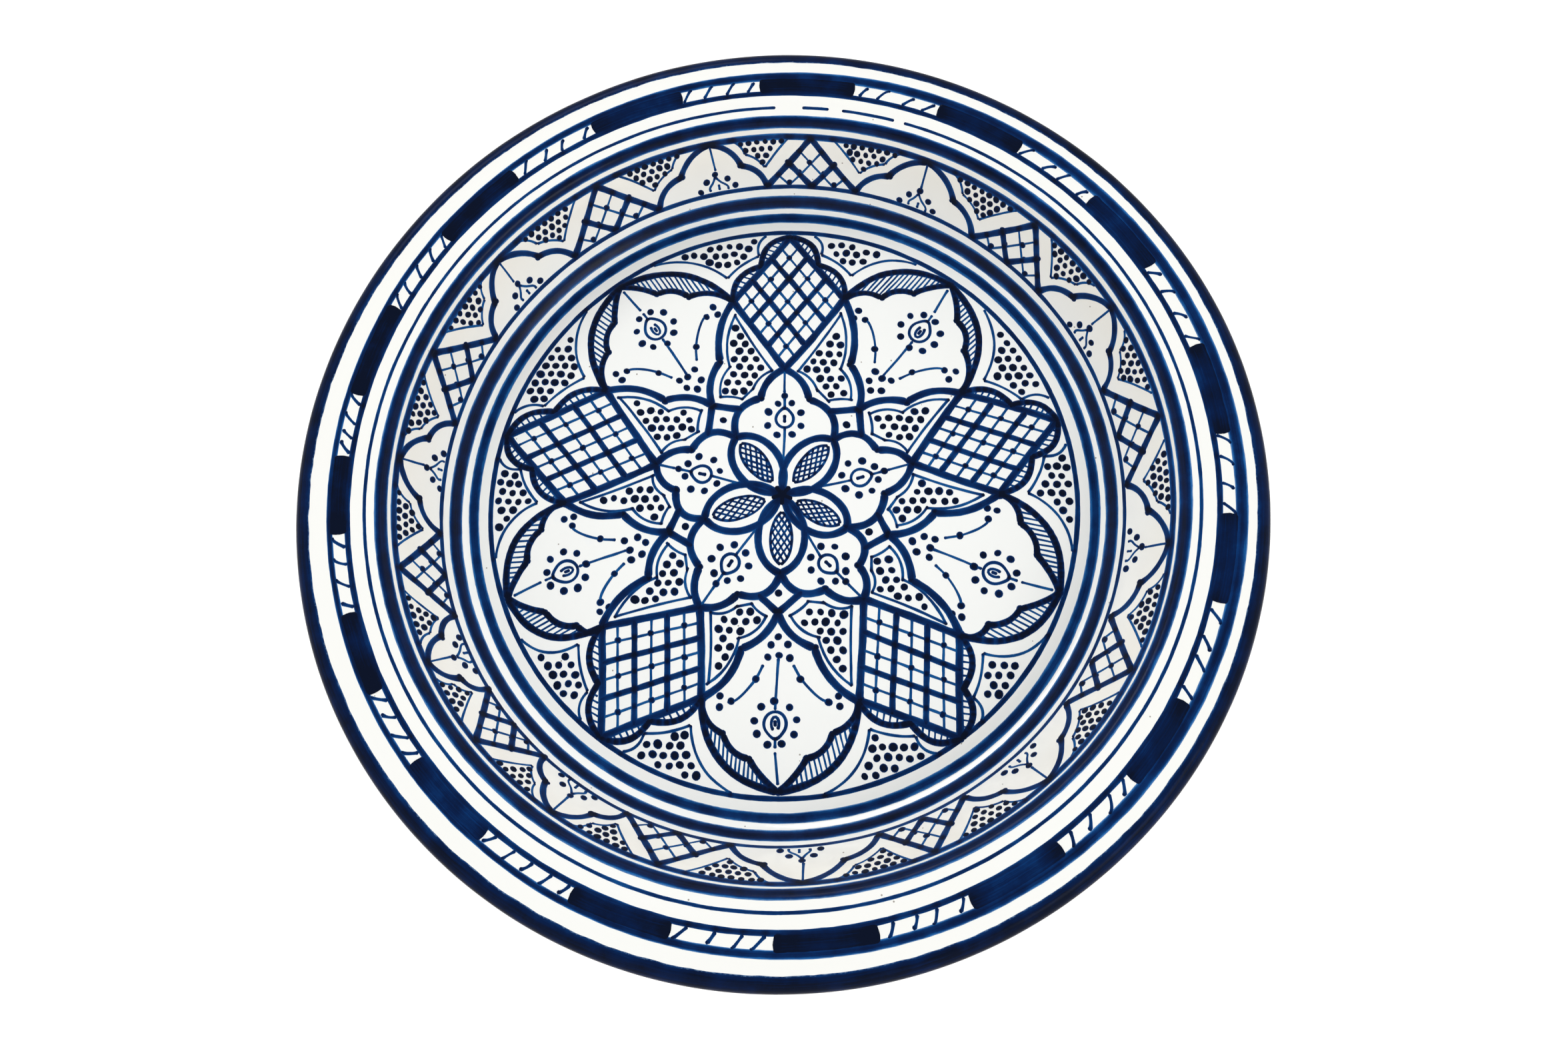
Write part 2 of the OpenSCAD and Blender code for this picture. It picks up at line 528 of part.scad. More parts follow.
module petal_hatching() color(light_cobalt) on_well()
    for (k = units, side = [-1, 1]) {
        outer = crescent_arc(k, side);
        inner = crescent_edge(k, side);
        for (i = [2:11]) {
            t = (i - 1) * 24 / 12;
            line(outer[i], inner[floor(t / 8)][round(t) % 8], fine_w * 0.8);
        }
    }

eye_at = [50.5, 0];
end_dots = [[19.8, 0.5], [15.1, 4.6], [11.2, 0.6], [14.5, -3.4], [21.5, -1.5]];
module petal_flowers() color(light_cobalt) on_well()
    for (k = units) {
        p = PETALS[k];
        eye = in_petal(p, eye_at[0], eye_at[1]);
        for (r = [5.2, 2.6] * drawn) difference() {
            dot(eye, r + fine_w / 2);
            dot(eye, r - fine_w / 2);
        }
        line(in_petal(p, 77, 0), eye, fine_w);
        line(in_petal(p, 44, 0), in_petal(p, 21, 0), fine_w);
        for (d = end_dots) dot(in_petal(p, d[0], d[1]), dot_r);
        for (i = [0:8]) dot(in_petal(p, eye_at[0] + 9.6 * cos(40 * i + 180), 9.6 * sin(40 * i + 180)), dot_r);
    }
// A sprig runs from beside the end dots towards the corner, as shares of the corner's own place
sprig = [[21.3, 0.16], [29.5, 0.28], [35.5, 0.42], [40.7, 0.62], [41.5, 0.79]];
sprig_dots = [[29.5, 0.28], [40.7, 0.62], [41.5, 0.79], [37.9, 0.73]];
module petal_sprigs() color(light_cobalt) on_well()
    for (k = units, side = [-1, 1]) {
        p = PETALS[k];
        span = petal_corner(k, side) - p[0];
        reach = abs(span * left_of(unit(p[1] - p[0]))) * petal_l / norm(p[1] - p[0]);
        stroke([for (q = sprig) in_petal(p, q[0], side * q[1] * reach)], fine_w);
        for (q = sprig_dots) dot(in_petal(p, q[0], side * q[1] * reach), dot_r);
    }

// ---- The medallion: dotted cells between the motifs ----
// An inner cell is a shrunken copy of the gap between a lozenge, a petal and a lobe
function lozenge_beside(k, side) = side > 0 ? (k + 1) % 5 : k;
function link_foot(k, side) = mix(LEAVES[k], lobe_cusp(lozenge_beside(k, side), LEAVES[k]), 0.5)
    + unit(PETALS[k][0] - LEAVES[k]) * 5 * drawn;
inner_shrink = [0.74, 0.5, 0.72, 0.7, 0.56, 0.6];
function inner_cell(k, side) =
    let (l = lozenge_beside(k, side),
        gap = [petal_corner(k, side), inner_cusp(k, side), PETALS[k][0], link_foot(k, side),
            lobe_cusp(l, LEAVES[k]), LOZENGES[l][0]],
        c = centroid(gap))
    [for (i = [0:5]) mix(c, gap[i], inner_shrink[i])];
// An outer cell hangs from the medallion's line, and follows a lozenge's scallops and a petal's crescent
cell_reach = medallion_r - medallion_line_w / 2;
function outer_cell(k, side) =
    let (l = lozenge_beside(k, side), q = LOZENGES[l], i = side > 0 ? 3 : 1, c = petal_corner(k, side),
        cusp = scallop_cusp(q, i), tip = PETALS[k][1],
        start = polar(cell_reach, atan2(q[2][1], q[2][0]) - side * 5),
        low = cusp + unit(cusp - q[0]) * 6 * drawn,
        meet = c + unit(c) * 13 * drawn,
        end = polar(cell_reach, atan2(tip[1], tip[0]) + side * 8.5))
    [bow(start, low, side * 2.2 * drawn, 5), bow(low, meet, side * 1.2 * drawn, 4),
        bow(meet, end, side * 5 * drawn, 8)];
// The same cell as a closed outline, along the medallion's line
function closed_outer(k, side) =
    let (paths = outer_cell(k, side), a = last(paths[2]), b = paths[0][0],
        from = atan2(a[1], a[0]), turn = (atan2(b[1], b[0]) - from + 540) % 360 - 180)
    concat([for (path = paths) for (p = path) p], [for (i = [1:5]) polar(cell_reach, from + turn * i / 6)]);
module cell_outlines() color(light_cobalt) on_well()
    for (k = units, side = [-1, 1]) {
        inner = inner_cell(k, side);
        difference() {
            polygon(grown(inner, -side * fine_w / 2));
            polygon(grown(inner, side * fine_w / 2));
        }
        for (path = outer_cell(k, side)) stroke(path, fine_w);
    }
dot_pitch = 4.7;
module dotted(outline, reach) {
    centre = centroid(outline);
    for (i = [-9:9], j = [-9:9]) {
        p = centre + dot_pitch * [i + (j % 2) / 2, j * 0.9];
        if (norm(p) < reach && inside(p, outline) && to_outline(p, outline) > dot_r + fine_w / 2)
            dot(p, dot_r);
    }
}
module cell_dots() color(dark_cobalt) on_well() {
    for (k = units, side = [-1, 1]) {
        dotted(inner_cell(k, side), cell_reach);
        dotted(closed_outer(k, side), cell_reach - dot_r);
    }
    for (k = units) dot(mix(LEAVES[k], PETALS[k][0], 0.5), dot_r);
}

clay_body();
clay_flange();
foot_ring();
face_glaze();
back_glaze();
base_glaze();
lip_band();
border_outer_line();
border_inner_line();
border_blocks();
border_ticks();
flange_line();
shoulder_band();
wall_top_line();
wall_base_line();
wall_arches();
wall_tents();
wall_tent_lattices();
wall_flowers();
wall_spandrel_outlines();
wall_spandrel_dots();
heel_band();
well_band();
medallion_line();
star_hub();
leaf_outlines();
leaf_hatching();
lobe_outlines();
lobe_flowers();
lozenge_frames();
lozenge_bars();
lozenge_liners();
lozenge_scallops();
lozenge_hatching();
petal_outlines();
petal_crescents();
petal_hatching();
petal_flowers();
petal_sprigs();
cell_outlines();
cell_dots();
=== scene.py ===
"""Hand painted ceramic plate: thrown clay, white glaze and cobalt brush work, in metres on the CAD frame."""
import cmath
import logging
import math
import random
from dataclasses import dataclass, field
from enum import Enum
from typing import Callable, Iterable, Optional, Union

import bpy
from mathutils import Matrix, Vector
from mathutils.kdtree import KDTree


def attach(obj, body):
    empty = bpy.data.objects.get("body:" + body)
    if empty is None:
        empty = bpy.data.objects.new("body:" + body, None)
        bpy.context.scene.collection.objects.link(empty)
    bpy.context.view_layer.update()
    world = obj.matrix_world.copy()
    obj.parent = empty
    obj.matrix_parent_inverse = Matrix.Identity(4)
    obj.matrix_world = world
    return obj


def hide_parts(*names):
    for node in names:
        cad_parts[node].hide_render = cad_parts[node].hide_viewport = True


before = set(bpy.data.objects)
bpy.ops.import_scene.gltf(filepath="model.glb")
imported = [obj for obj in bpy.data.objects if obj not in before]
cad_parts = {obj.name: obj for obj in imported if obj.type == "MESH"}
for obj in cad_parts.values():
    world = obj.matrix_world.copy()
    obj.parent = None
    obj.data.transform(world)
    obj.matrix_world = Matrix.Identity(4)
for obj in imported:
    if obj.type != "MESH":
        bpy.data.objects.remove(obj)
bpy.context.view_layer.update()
MM = 0.001
LOG = logging.getLogger("plate")

Point = complex
Path = list[complex]
Colour = tuple[float, float, float]
Feed = Union[bpy.types.NodeSocket, float, int, bool, str, tuple]


# ---- Drawing on paper: points of the unrolled face, in millimetres ----
def polar(radius: float, angle: float) -> Point:
    """A point at a radius and an angle in degrees."""
    return cmath.rect(radius, math.radians(angle))


def unit(v: Point) -> Point:
    """The same direction, one millimetre long."""
    return v / abs(v)


def mix(a: complex, b: complex, t: float) -> complex:
    """The point, or the number, a share t of the way from a to b."""
    return a * (1 - t) + b * t


def bow(a: Point, b: Point, height: float, count: int = 14) -> Path:
    """A bowed stroke from a to b, standing off its chord to the left.

    Args:
        a: Start of the stroke.
        b: End of the stroke.
        height: How far its middle stands off the chord.
        count: Number of steps.

    Returns:
        The points of the stroke.
    """
    side = unit(b - a) * 1j
    return [mix(a, b, i / count) + side * 4 * height * (i / count) * (1 - i / count)
            for i in range(count + 1)]


def cubic(a: Point, b: Point, c: Point, d: Point, count: int = 18) -> Path:
    """A cubic curve.

    Args:
        a: Start.
        b: First handle.
        c: Second handle.
        d: End.
        count: Number of steps.

    Returns:
        The points of the curve.
    """
    steps = [i / count for i in range(count + 1)]
    return [a * (1 - t) ** 3 + 3 * b * t * (1 - t) ** 2 + 3 * c * t * t * (1 - t) + d * t ** 3 for t in steps]


def smooth(keys: Path, count: int = 7) -> Path:
    """A curve through its key points.

    Args:
        keys: The points that it passes.
        count: Steps between two of them.

    Returns:
        The points of the curve.
    """
    ends = [2 * keys[0] - keys[1]] + list(keys) + [2 * keys[-1] - keys[-2]]
    path = [keys[0]]
    for i in range(1, len(ends) - 2):
        before, a, b, after = ends[i - 1:i + 3]
        path += cubic(a, a + (b - before) / 6, b - (after - a) / 6, b, count)[1:]
    return path


def inside(p: Point, outline: Path) -> bool:
    """Whether a point lies inside a closed outline.

    Args:
        p: The point.
        outline: Closed outline.

    Returns:
        True where it lies inside.
    """
    odd = False
    for a, b in zip(outline, outline[1:] + outline[:1]):
        if (a.imag > p.imag) != (b.imag > p.imag):
            if p.real < (b.real - a.real) * (p.imag - a.imag) / (b.imag - a.imag) + a.real:
                odd = not odd
    return odd


def nearest_on(p: Point, outline: Path) -> Point:
    """The point of a closed outline that is nearest to p.

    Args:
        p: The point.
        outline: Closed outline.

    Returns:
        The nearest point.
    """
    best = outline[0]
    for a, b in zip(outline, outline[1:] + outline[:1]):
        along = b - a
        t = max(0.0, min(1.0, ((p - a) * along.conjugate()).real / max(abs(along) ** 2, 1e-9)))
        if abs(p - mix(a, b, t)) < abs(p - best):
            best = mix(a, b, t)
    return best


# ---- The plate's section ----
@dataclass(frozen=True)
class Spot:
    """A point of the section, with the direction out of the clay."""
    radius: float
    height: float
    out: tuple[float, float]

    def moved(self, distance: float) -> "Spot":
        """The same spot, moved out of the clay."""
        return Spot(self.radius + distance * self.out[0], self.height + distance * self.out[1], self.out)


@dataclass
class PlateSection:
    """The section that the potter throws, in millimetres, with the sizes of the CAD part."""
    plate_d: float = 420.0
    flange_w: float = 35.5
    wall_rise: float = 40.3
    wall_angle: float = 60.0
    flange_slope: float = 8.7
    heel_r: float = 15.0
    shoulder_r: float = 5.0
    lip_r: float = 6.3
    body_t: float = 8.5
    flange_t: float = 7.5
    bead_r: float = 3.0
    bead_w: float = 14.0
    back_fillet_r: float = 10.0
    foot_inset: float = 22.5
    foot_w: float = 8.0
    foot_h: float = 8.0
    glaze_t: float = 0.5
    foot_glaze: float = 1.4
    bead_turn: float = 72.0
    droop: tuple[float, float, float] = (1.25, 0.85, 190.0)
    ridges: tuple[tuple[float, float, float], ...] = ((222.9, 0.8, -0.16), (224.4, 0.7, 0.07),
                                                      (206.6, 1.1, 0.09),
                                                     (200.3, 0.7, -0.05), (159.8, 0.9, -0.05))
    face: list[Spot] = field(init=False)
    lengths: list[float] = field(init=False)

    def __post_init__(self) -> None:
        """Works out the fixed points of the section and walks along its face."""
        self.well_z = self.foot_h + self.body_t + self.glaze_t
        self.corner = complex(self.plate_d / 2 - self.flange_w, self.well_z + self.wall_rise)
        slope = math.radians(self.wall_angle)
        self.well_r = self.corner.real - self.wall_rise / math.tan(slope) - self.heel_r * math.tan(slope / 2)
        self.heel_c = complex(self.well_r, self.well_z + self.heel_r)
        turn = self.wall_angle - self.flange_slope
        self.shoulder_c = (self.corner - self.shoulder_r * math.tan(math.radians(turn / 2))
                           * polar(1, self.wall_angle)
                           + polar(self.shoulder_r, self.wall_angle - 90))
        start = self.plate_d / 2 - self.lip_r - self.lip_r * math.sin(math.radians(self.flange_slope))
        tilt = math.radians(self.flange_slope)
        self.lip_c = complex(self.plate_d / 2 - self.lip_r, self.corner.imag
                             + math.tan(tilt) * (start - self.corner.real) - self.lip_r * math.cos(tilt))
        self.foot_r = self.well_r - self.foot_inset
        self.face = self._walk_face()
        self.lengths = [0.0]
        for a, b in zip(self.face, self.face[1:]):
            self.lengths.append(self.lengths[-1] + math.hypot(b.radius - a.radius, b.height - a.height))

    @staticmethod
    def arc(centre: Point, radius: float, start: float, end: float, side: int, count: int) -> list[Spot]:
        """Spots round an arc.

        Args:
            centre: Centre of the arc.
            radius: Its radius.
            start: First direction, in degrees.
            end: Last direction.
            side: 1 where the clay is on the centre's side, -1 where it is outside.
            count: Number of steps.

        Returns:
            The spots, with the direction out of the clay.
        """
        spots = []
        for i in range(count + 1):
            way = polar(1, start + (end - start) * i / count)
            spots.append(Spot(centre.real + side * radius * way.real, centre.imag + side * radius * way.imag,
                              (way.real, way.imag)))
        return spots

    def _walk_face(self) -> list[Spot]:
        """The face from its centre over wall, flange and lip to under the bead.

        Returns:
            The spots, in order.
        """
        up = 90 + self.flange_slope
        joints = [
            [Spot(0.0, self.well_z, (0.0, 1.0))],
            self.arc(self.heel_c, self.heel_r, 90, 90 + self.wall_angle, -1, 20),
            self.arc(self.shoulder_c, self.shoulder_r, 90 + self.wall_angle, up, 1, 12),
            self.arc(self.lip_c, self.lip_r, up, 0, 1, 18),
            self.arc(complex(self.plate_d / 2 - self.bead_r, self.lip_c.imag), self.bead_r, 0,
                     -self.bead_turn, 1, 8),
        ]
        spots: list[Spot] = []
        for joint in joints:
            if spots:
                a, b = spots[-1], joint[0]
                gap = math.hypot(b.radius - a.radius, b.height - a.height)
                step = 1.8 if a.radius < 1 else 1.3
                count = max(1, round(gap / step))
                for i in range(1, count):
                    t = i / count
                    spots.append(Spot(a.radius + (b.radius - a.radius) * t,
                                      a.height + (b.height - a.height) * t, b.out))
            spots += joint if not spots or math.hypot(joint[0].radius - spots[-1].radius,
                                                      joint[0].height
                                                      - spots[-1].height) > 1e-6 else joint[1:]
        lengths = [0.0]
        for a, b in zip(spots, spots[1:]):
            lengths.append(lengths[-1] + math.hypot(b.radius - a.radius, b.height - a.height))
        return [spot.moved(sum(depth * math.exp(-((s - at) / width) ** 2) for at, width,
                               depth in self.ridges))
                for spot, s in zip(spots, lengths)]

    def back(self) -> list[Spot]:
        """The back from under the bead to the foot ring's outer face.

        Returns:
            The spots, in order.
        """
        fold = math.sin(math.radians(self.wall_angle - self.flange_slope))
        wall_all = self.body_t + 2 * self.glaze_t
        flange_all = self.flange_t + 2 * self.glaze_t
        fillet_c = self.corner + (polar(wall_all + self.back_fillet_r, self.flange_slope)
                                  - polar(flange_all + self.back_fillet_r, self.wall_angle)) / fold
        taper_r = self.plate_d / 2 - self.bead_w
        taper_z = (self.corner.imag + math.tan(math.radians(self.flange_slope)) * (taper_r - self.corner.real)
                   - flange_all / math.cos(math.radians(self.flange_slope)))
        bead = self.arc(complex(self.plate_d / 2 - self.bead_r, self.lip_c.imag), self.bead_r,
                        -self.bead_turn, -88, 1, 3)
        fillet = self.arc(fillet_c, self.back_fillet_r, self.flange_slope - 90, self.wall_angle - 90, -1, 12)
        heel = self.arc(self.heel_c, self.heel_r + wall_all, self.wall_angle - 90, -90, 1, 18)
        spots = bead + [Spot(taper_r, taper_z, polar_pair(-84))]
        for joint in (fillet, heel):
            a, b = spots[-1], joint[0]
            count = max(1, round(math.hypot(b.radius - a.radius, b.height - a.height) / 1.6))
            spots += [Spot(a.radius + (b.radius - a.radius) * i / count,
                           a.height + (b.height - a.height) * i / count,
                           b.out) for i in range(1, count)]
            spots += joint
        return spots


def polar_pair(angle: float) -> tuple[float, float]:
    """A direction in degrees as a pair of numbers."""
    way = polar(1, angle)
    return way.real, way.imag


# ---- Node trees ----
class NodeSheet:
    """Adds nodes to one tree and joins them."""

    def __init__(self, tree: bpy.types.NodeTree) -> None:
        """Keeps the tree."""
        self.tree = tree

    def node(self, kind: str, feeds: Optional[dict] = None, **settings: object) -> bpy.types.Node:
        """Adds a node.

        Args:
            kind: The node's type.
            feeds: What goes into its sockets, by name or number: another socket or a plain value.
            **settings: The node's own settings.

        Returns:
            The new node.
        """
        made = self.tree.nodes.new(kind)
        for name, value in settings.items():
            setattr(made, name, value)
        for key, value in (feeds or {}).items():
            if isinstance(value, bpy.types.NodeSocket):
                self.tree.links.new(value, made.inputs[key])
            else:
                made.inputs[key].default_value = value
        return made

    def math(self, operation: str, a: Feed, b: Feed = 0.0, c: Feed = 0.0,
             clamp: bool = False) -> bpy.types.NodeSocket:
        """One sum on numbers; returns its result."""
        return self.node("ShaderNodeMath", {0: a, 1: b, 2: c}, operation=operation,
                         use_clamp=clamp).outputs[0]

    def plus(self, a: Feed, b: Feed, clamp: bool = False) -> bpy.types.NodeSocket:
        """Two numbers added."""
        return self.math("ADD", a, b, clamp=clamp)

    def less(self, a: Feed, b: Feed, clamp: bool = False) -> bpy.types.NodeSocket:
        """The first number less the second."""
        return self.math("SUBTRACT", a, b, clamp=clamp)

    def times(self, a: Feed, b: Feed, clamp: bool = False) -> bpy.types.NodeSocket:
        """Two numbers multiplied."""
        return self.math("MULTIPLY", a, b, clamp=clamp)

    def over(self, a: Feed, b: Feed) -> bpy.types.NodeSocket:
        """The first number divided by the second."""
        return self.math("DIVIDE", a, b)

    def vector(self, operation: str, a: Feed, b: Feed = (0.0, 0.0, 0.0),
               scale: Feed = 1.0) -> bpy.types.NodeSocket:
        """One sum on vectors; returns the vector."""
        return self.node("ShaderNodeVectorMath", {0: a, 1: b, 3: scale}, operation=operation).outputs[0]

    def length(self, a: Feed) -> bpy.types.NodeSocket:
        """The length of a vector."""
        return self.node("ShaderNodeVectorMath", {0: a}, operation="LENGTH").outputs[1]

    def join_xyz(self, x: Feed = 0.0, y: Feed = 0.0, z: Feed = 0.0) -> bpy.types.NodeSocket:
        """A vector from three numbers."""
        return self.node("ShaderNodeCombineXYZ", {0: x, 1: y, 2: z}).outputs[0]

    def split_xyz(self, a: Feed) -> tuple[bpy.types.NodeSocket, ...]:
        """The three numbers of a vector."""
        return tuple(self.node("ShaderNodeSeparateXYZ", {0: a}).outputs)

    def noise(self, at: Feed, scale: float, detail: float = 2.0, seed: Feed = 0.0,
              rough: float = 0.5) -> bpy.types.NodeSocket:
        """Smooth noise between 0 and 1."""
        return self.node("ShaderNodeTexNoise", {"Vector": at, "W": seed, "Scale": scale, "Detail": detail,
                                                "Roughness": rough}, noise_dimensions="4D").outputs[0]

    def swing(self, at: Feed, scale: float, reach: Feed, seed: Feed = 0.0,
              detail: float = 1.0) -> bpy.types.NodeSocket:
        """Noise that swings by reach to either side of nothing."""
        centred = self.less(self.noise(at, scale, detail, seed), 0.5)
        return self.times(self.times(centred, 3.2), reach)


class TreeMaker(NodeSheet):
    """A Geometry Nodes tree with named inputs."""

    def __init__(self, name: str, inputs: dict[str, tuple[str, object]], output: str = "Geometry") -> None:
        """Makes the tree.

        Args:
            name: Name of the tree.
            inputs: Socket type and starting value of each named input.
            output: What it gives: "Geometry" or the name of a field.
        """
        super().__init__(bpy.data.node_groups.new(name, "GeometryNodeTree"))
        for title, (kind, value) in inputs.items():
            socket = self.tree.interface.new_socket(name=title, in_out="INPUT", socket_type=kind)
            if value is not None:
                socket.default_value = value
        kind = "NodeSocketGeometry" if output == "Geometry" else "NodeSocketVector"
        self.tree.interface.new_socket(name=output, in_out="OUTPUT", socket_type=kind)
        self.source = self.tree.nodes.new("NodeGroupInput")
        self.sink = self.tree.nodes.new("NodeGroupOutput")

    def given(self, name: str) -> bpy.types.NodeSocket:
        """A named input of the tree."""
        return self.source.outputs[name]

    def finish(self, result: bpy.types.NodeSocket) -> bpy.types.NodeTree:
        """Joins the result to the output and returns the tree."""
        self.tree.links.new(result, self.sink.inputs[0])
        return self.tree

    def named(self, name: str, kind: str = "FLOAT") -> bpy.types.NodeSocket:
        """A named attribute."""
        return self.node("GeometryNodeInputNamedAttribute", {"Name": name}, data_type=kind).outputs[0]

    def store(self, geometry: Feed, name: str, value: Feed, kind: str = "FLOAT") -> bpy.types.NodeSocket:
        """Stores a value on the points; returns the geometry."""
        return self.node("GeometryNodeStoreNamedAttribute",
                         {"Geometry": geometry, "Name": name, "Value": value},
                         data_type=kind, domain="POINT").outputs[0]

    def place(self, geometry: Feed, position: Feed) -> bpy.types.NodeSocket:
        """Moves the points; returns the geometry."""
        return self.node("GeometryNodeSetPosition", {"Geometry": geometry, "Position": position}).outputs[0]

    def object_geometry(self, name: str) -> bpy.types.NodeSocket:
        """The geometry of a helper object that is a named input."""
        return self.node("GeometryNodeObjectInfo", {"Object": self.given(name)}).outputs["Geometry"]


class Wheel:
    """The trees that turn a section on the wheel and lay brush work on the turned face."""

    def __init__(self, section: PlateSection) -> None:
        """Makes the trees and the helper object that holds the face's line.

        Args:
            section: The section that is turned.
        """
        self.section = section
        self.hand = self._hand_tree()
        self.turned = self._turned_tree()
        self.painted = self._painted_tree()
        self.face_line = section_object("face_line", section.face)

    def _hand_tree(self) -> bpy.types.NodeTree:
        """Where the hand leaves a turned surface: its true place, moved a little along the direction out.

        Returns:
            The tree.
        """
        t = TreeMaker("hand_marks", {"Place": ("NodeSocketVector", None), "Out": ("NodeSocketVector", None),
                                     "Lift": ("NodeSocketFloat", 0.0)}, "Position")
        place = t.given("Place")
        x, y, z = t.split_xyz(place)
        radius = t.math("SQRT", t.plus(t.times(x, x), t.times(y, y)))
        sway = t.swing(place, 9.0, 0.00022, 3.0)
        rings = t.swing(t.join_xyz(radius, z, 0.0), 90.0, 0.00004, 8.0)
        dimple = t.swing(place, 60.0, 0.00004, 5.0)
        moved = t.plus(t.plus(sway, rings), t.plus(dimple, t.given("Lift")))
        lifted = t.vector("ADD", place, t.vector("SCALE", t.given("Out"), scale=moved))
        # Beyond the border the lip stands a little further out than the CAD part, more towards one side
        outwards = t.vector("NORMALIZE", t.vector("MULTIPLY", place, (1.0, 1.0, 0.0)))
        way_x, way_y, _ = t.split_xyz(outwards)
        reach, more, towards = self.section.droop
        lean = polar(more * MM, towards)
        spread = t.plus(reach * MM, t.plus(t.times(way_x, lean.real),
                                                  t.times(way_y, lean.imag)))
        share = t.node("ShaderNodeMapRange", {0: radius, 1: 0.197, 2: 0.2065, 3: 0.0, 4: 1.0},
                       interpolation_type="SMOOTHSTEP").outputs[0]
        return t.finish(t.vector("ADD", lifted, t.vector("SCALE", outwards, scale=t.times(spread, share))))

    def _around(self, t: TreeMaker, spot: Feed, out: Feed, turn: Feed, lift: Feed) -> bpy.types.NodeSocket:
        """Turns a point of the section round the axis and adds the hand's marks.

        Args:
            t: The tree.
            spot: The point: radius in x, height in z.
            out: Direction out of the clay there.
            turn: Angle round the axis.
            lift: Distance to stand off.

        Returns:
            The place on the turned surface.
        """
        cosine, sine = t.math("COSINE", turn), t.math("SINE", turn)
        radius, _, height = t.split_xyz(spot)
        out_r, _, out_z = t.split_xyz(out)
        place = t.join_xyz(t.times(radius, cosine), t.times(radius, sine), height)
        away = t.join_xyz(t.times(out_r, cosine), t.times(out_r, sine), out_z)
        group = t.node("GeometryNodeGroup", node_tree=self.hand)
        for name, value in {"Place": place, "Out": away, "Lift": lift}.items():
            if isinstance(value, bpy.types.NodeSocket):
                t.tree.links.new(value, group.inputs[name])
            else:
                group.inputs[name].default_value = value
        return group.outputs[0]

    def _turned_tree(self) -> bpy.types.NodeTree:
        """A section turned round the axis, as a closed smooth mesh.

        Returns:
            The tree.
        """
        t = TreeMaker("turned_on_the_wheel", {
            "Geometry": ("NodeSocketGeometry", None), "Section": ("NodeSocketObject", None),
            "Segments": ("NodeSocketInt", 512), "Material": ("NodeSocketMaterial", None)})
        line = t.object_geometry("Section")
        count = t.node("GeometryNodeAttributeDomainSize", {"Geometry": line},
                       component="MESH").outputs["Point Count"]
        around = t.plus(t.given("Segments"), 1)
        grid = t.node("GeometryNodeMeshGrid", {"Size X": 1.0, "Size Y": 1.0, "Vertices X": around,
                                               "Vertices Y": count}).outputs[0]
        x, y, _ = t.split_xyz(t.node("GeometryNodeInputPosition").outputs[0])
        turn = t.times(t.plus(x, 0.5), 2 * math.pi)
        index = t.math("ROUND", t.times(t.plus(y, 0.5), t.less(count, 1)))
        take = [t.node("GeometryNodeSampleIndex", {"Geometry": line, "Index": index},
                       data_type="FLOAT_VECTOR")
                for _ in range(2)]
        t.tree.links.new(t.node("GeometryNodeInputPosition").outputs[0], take[0].inputs["Value"])
        t.tree.links.new(t.named("out", "FLOAT_VECTOR"), take[1].inputs["Value"])
        shaped = t.place(grid, self._around(t, take[0].outputs[0], take[1].outputs[0], turn, 0.0))
        closed = t.node("GeometryNodeMergeByDistance", {"Geometry": shaped, "Distance": 2e-6}).outputs[0]
        faced = t.node("GeometryNodeFlipFaces", {"Mesh": closed}).outputs[0]
        soft = t.node("GeometryNodeSetShadeSmooth", {"Geometry": faced}).outputs[0]
        whole = t.node("GeometryNodeRealizeInstances", {"Geometry": soft}).outputs[0]
        return t.finish(t.node("GeometryNodeSetMaterial", {"Geometry": whole,
                                                           "Material": t.given("Material")}).outputs[0])

    def _painted_tree(self) -> bpy.types.NodeTree:
        """Strokes and dots drawn flat, given their brush marks and laid on the turned face.

        Returns:
            The tree.
        """
        t = TreeMaker("painted_on_the_face", {
            "Geometry": ("NodeSocketGeometry", None), "Face line": ("NodeSocketObject", None),
            "Relief": ("NodeSocketFloat", 0.0001), "Layer": ("NodeSocketFloat", 0.0),
            "Across": ("NodeSocketInt", 7), "Wobble": ("NodeSocketFloat", 0.0002),
            "Uneven": ("NodeSocketFloat", 0.16), "Blob": ("NodeSocketFloat", 0.15),
            "Ragged": ("NodeSocketFloat", 0.00007), "Tip": ("NodeSocketFloat", 1.0),
            "Seed": ("NodeSocketFloat", 0.0),
            "Material": ("NodeSocketMaterial", None)})
        here = t.node("GeometryNodeInputPosition").outputs[0]
        seed = t.given("Seed")
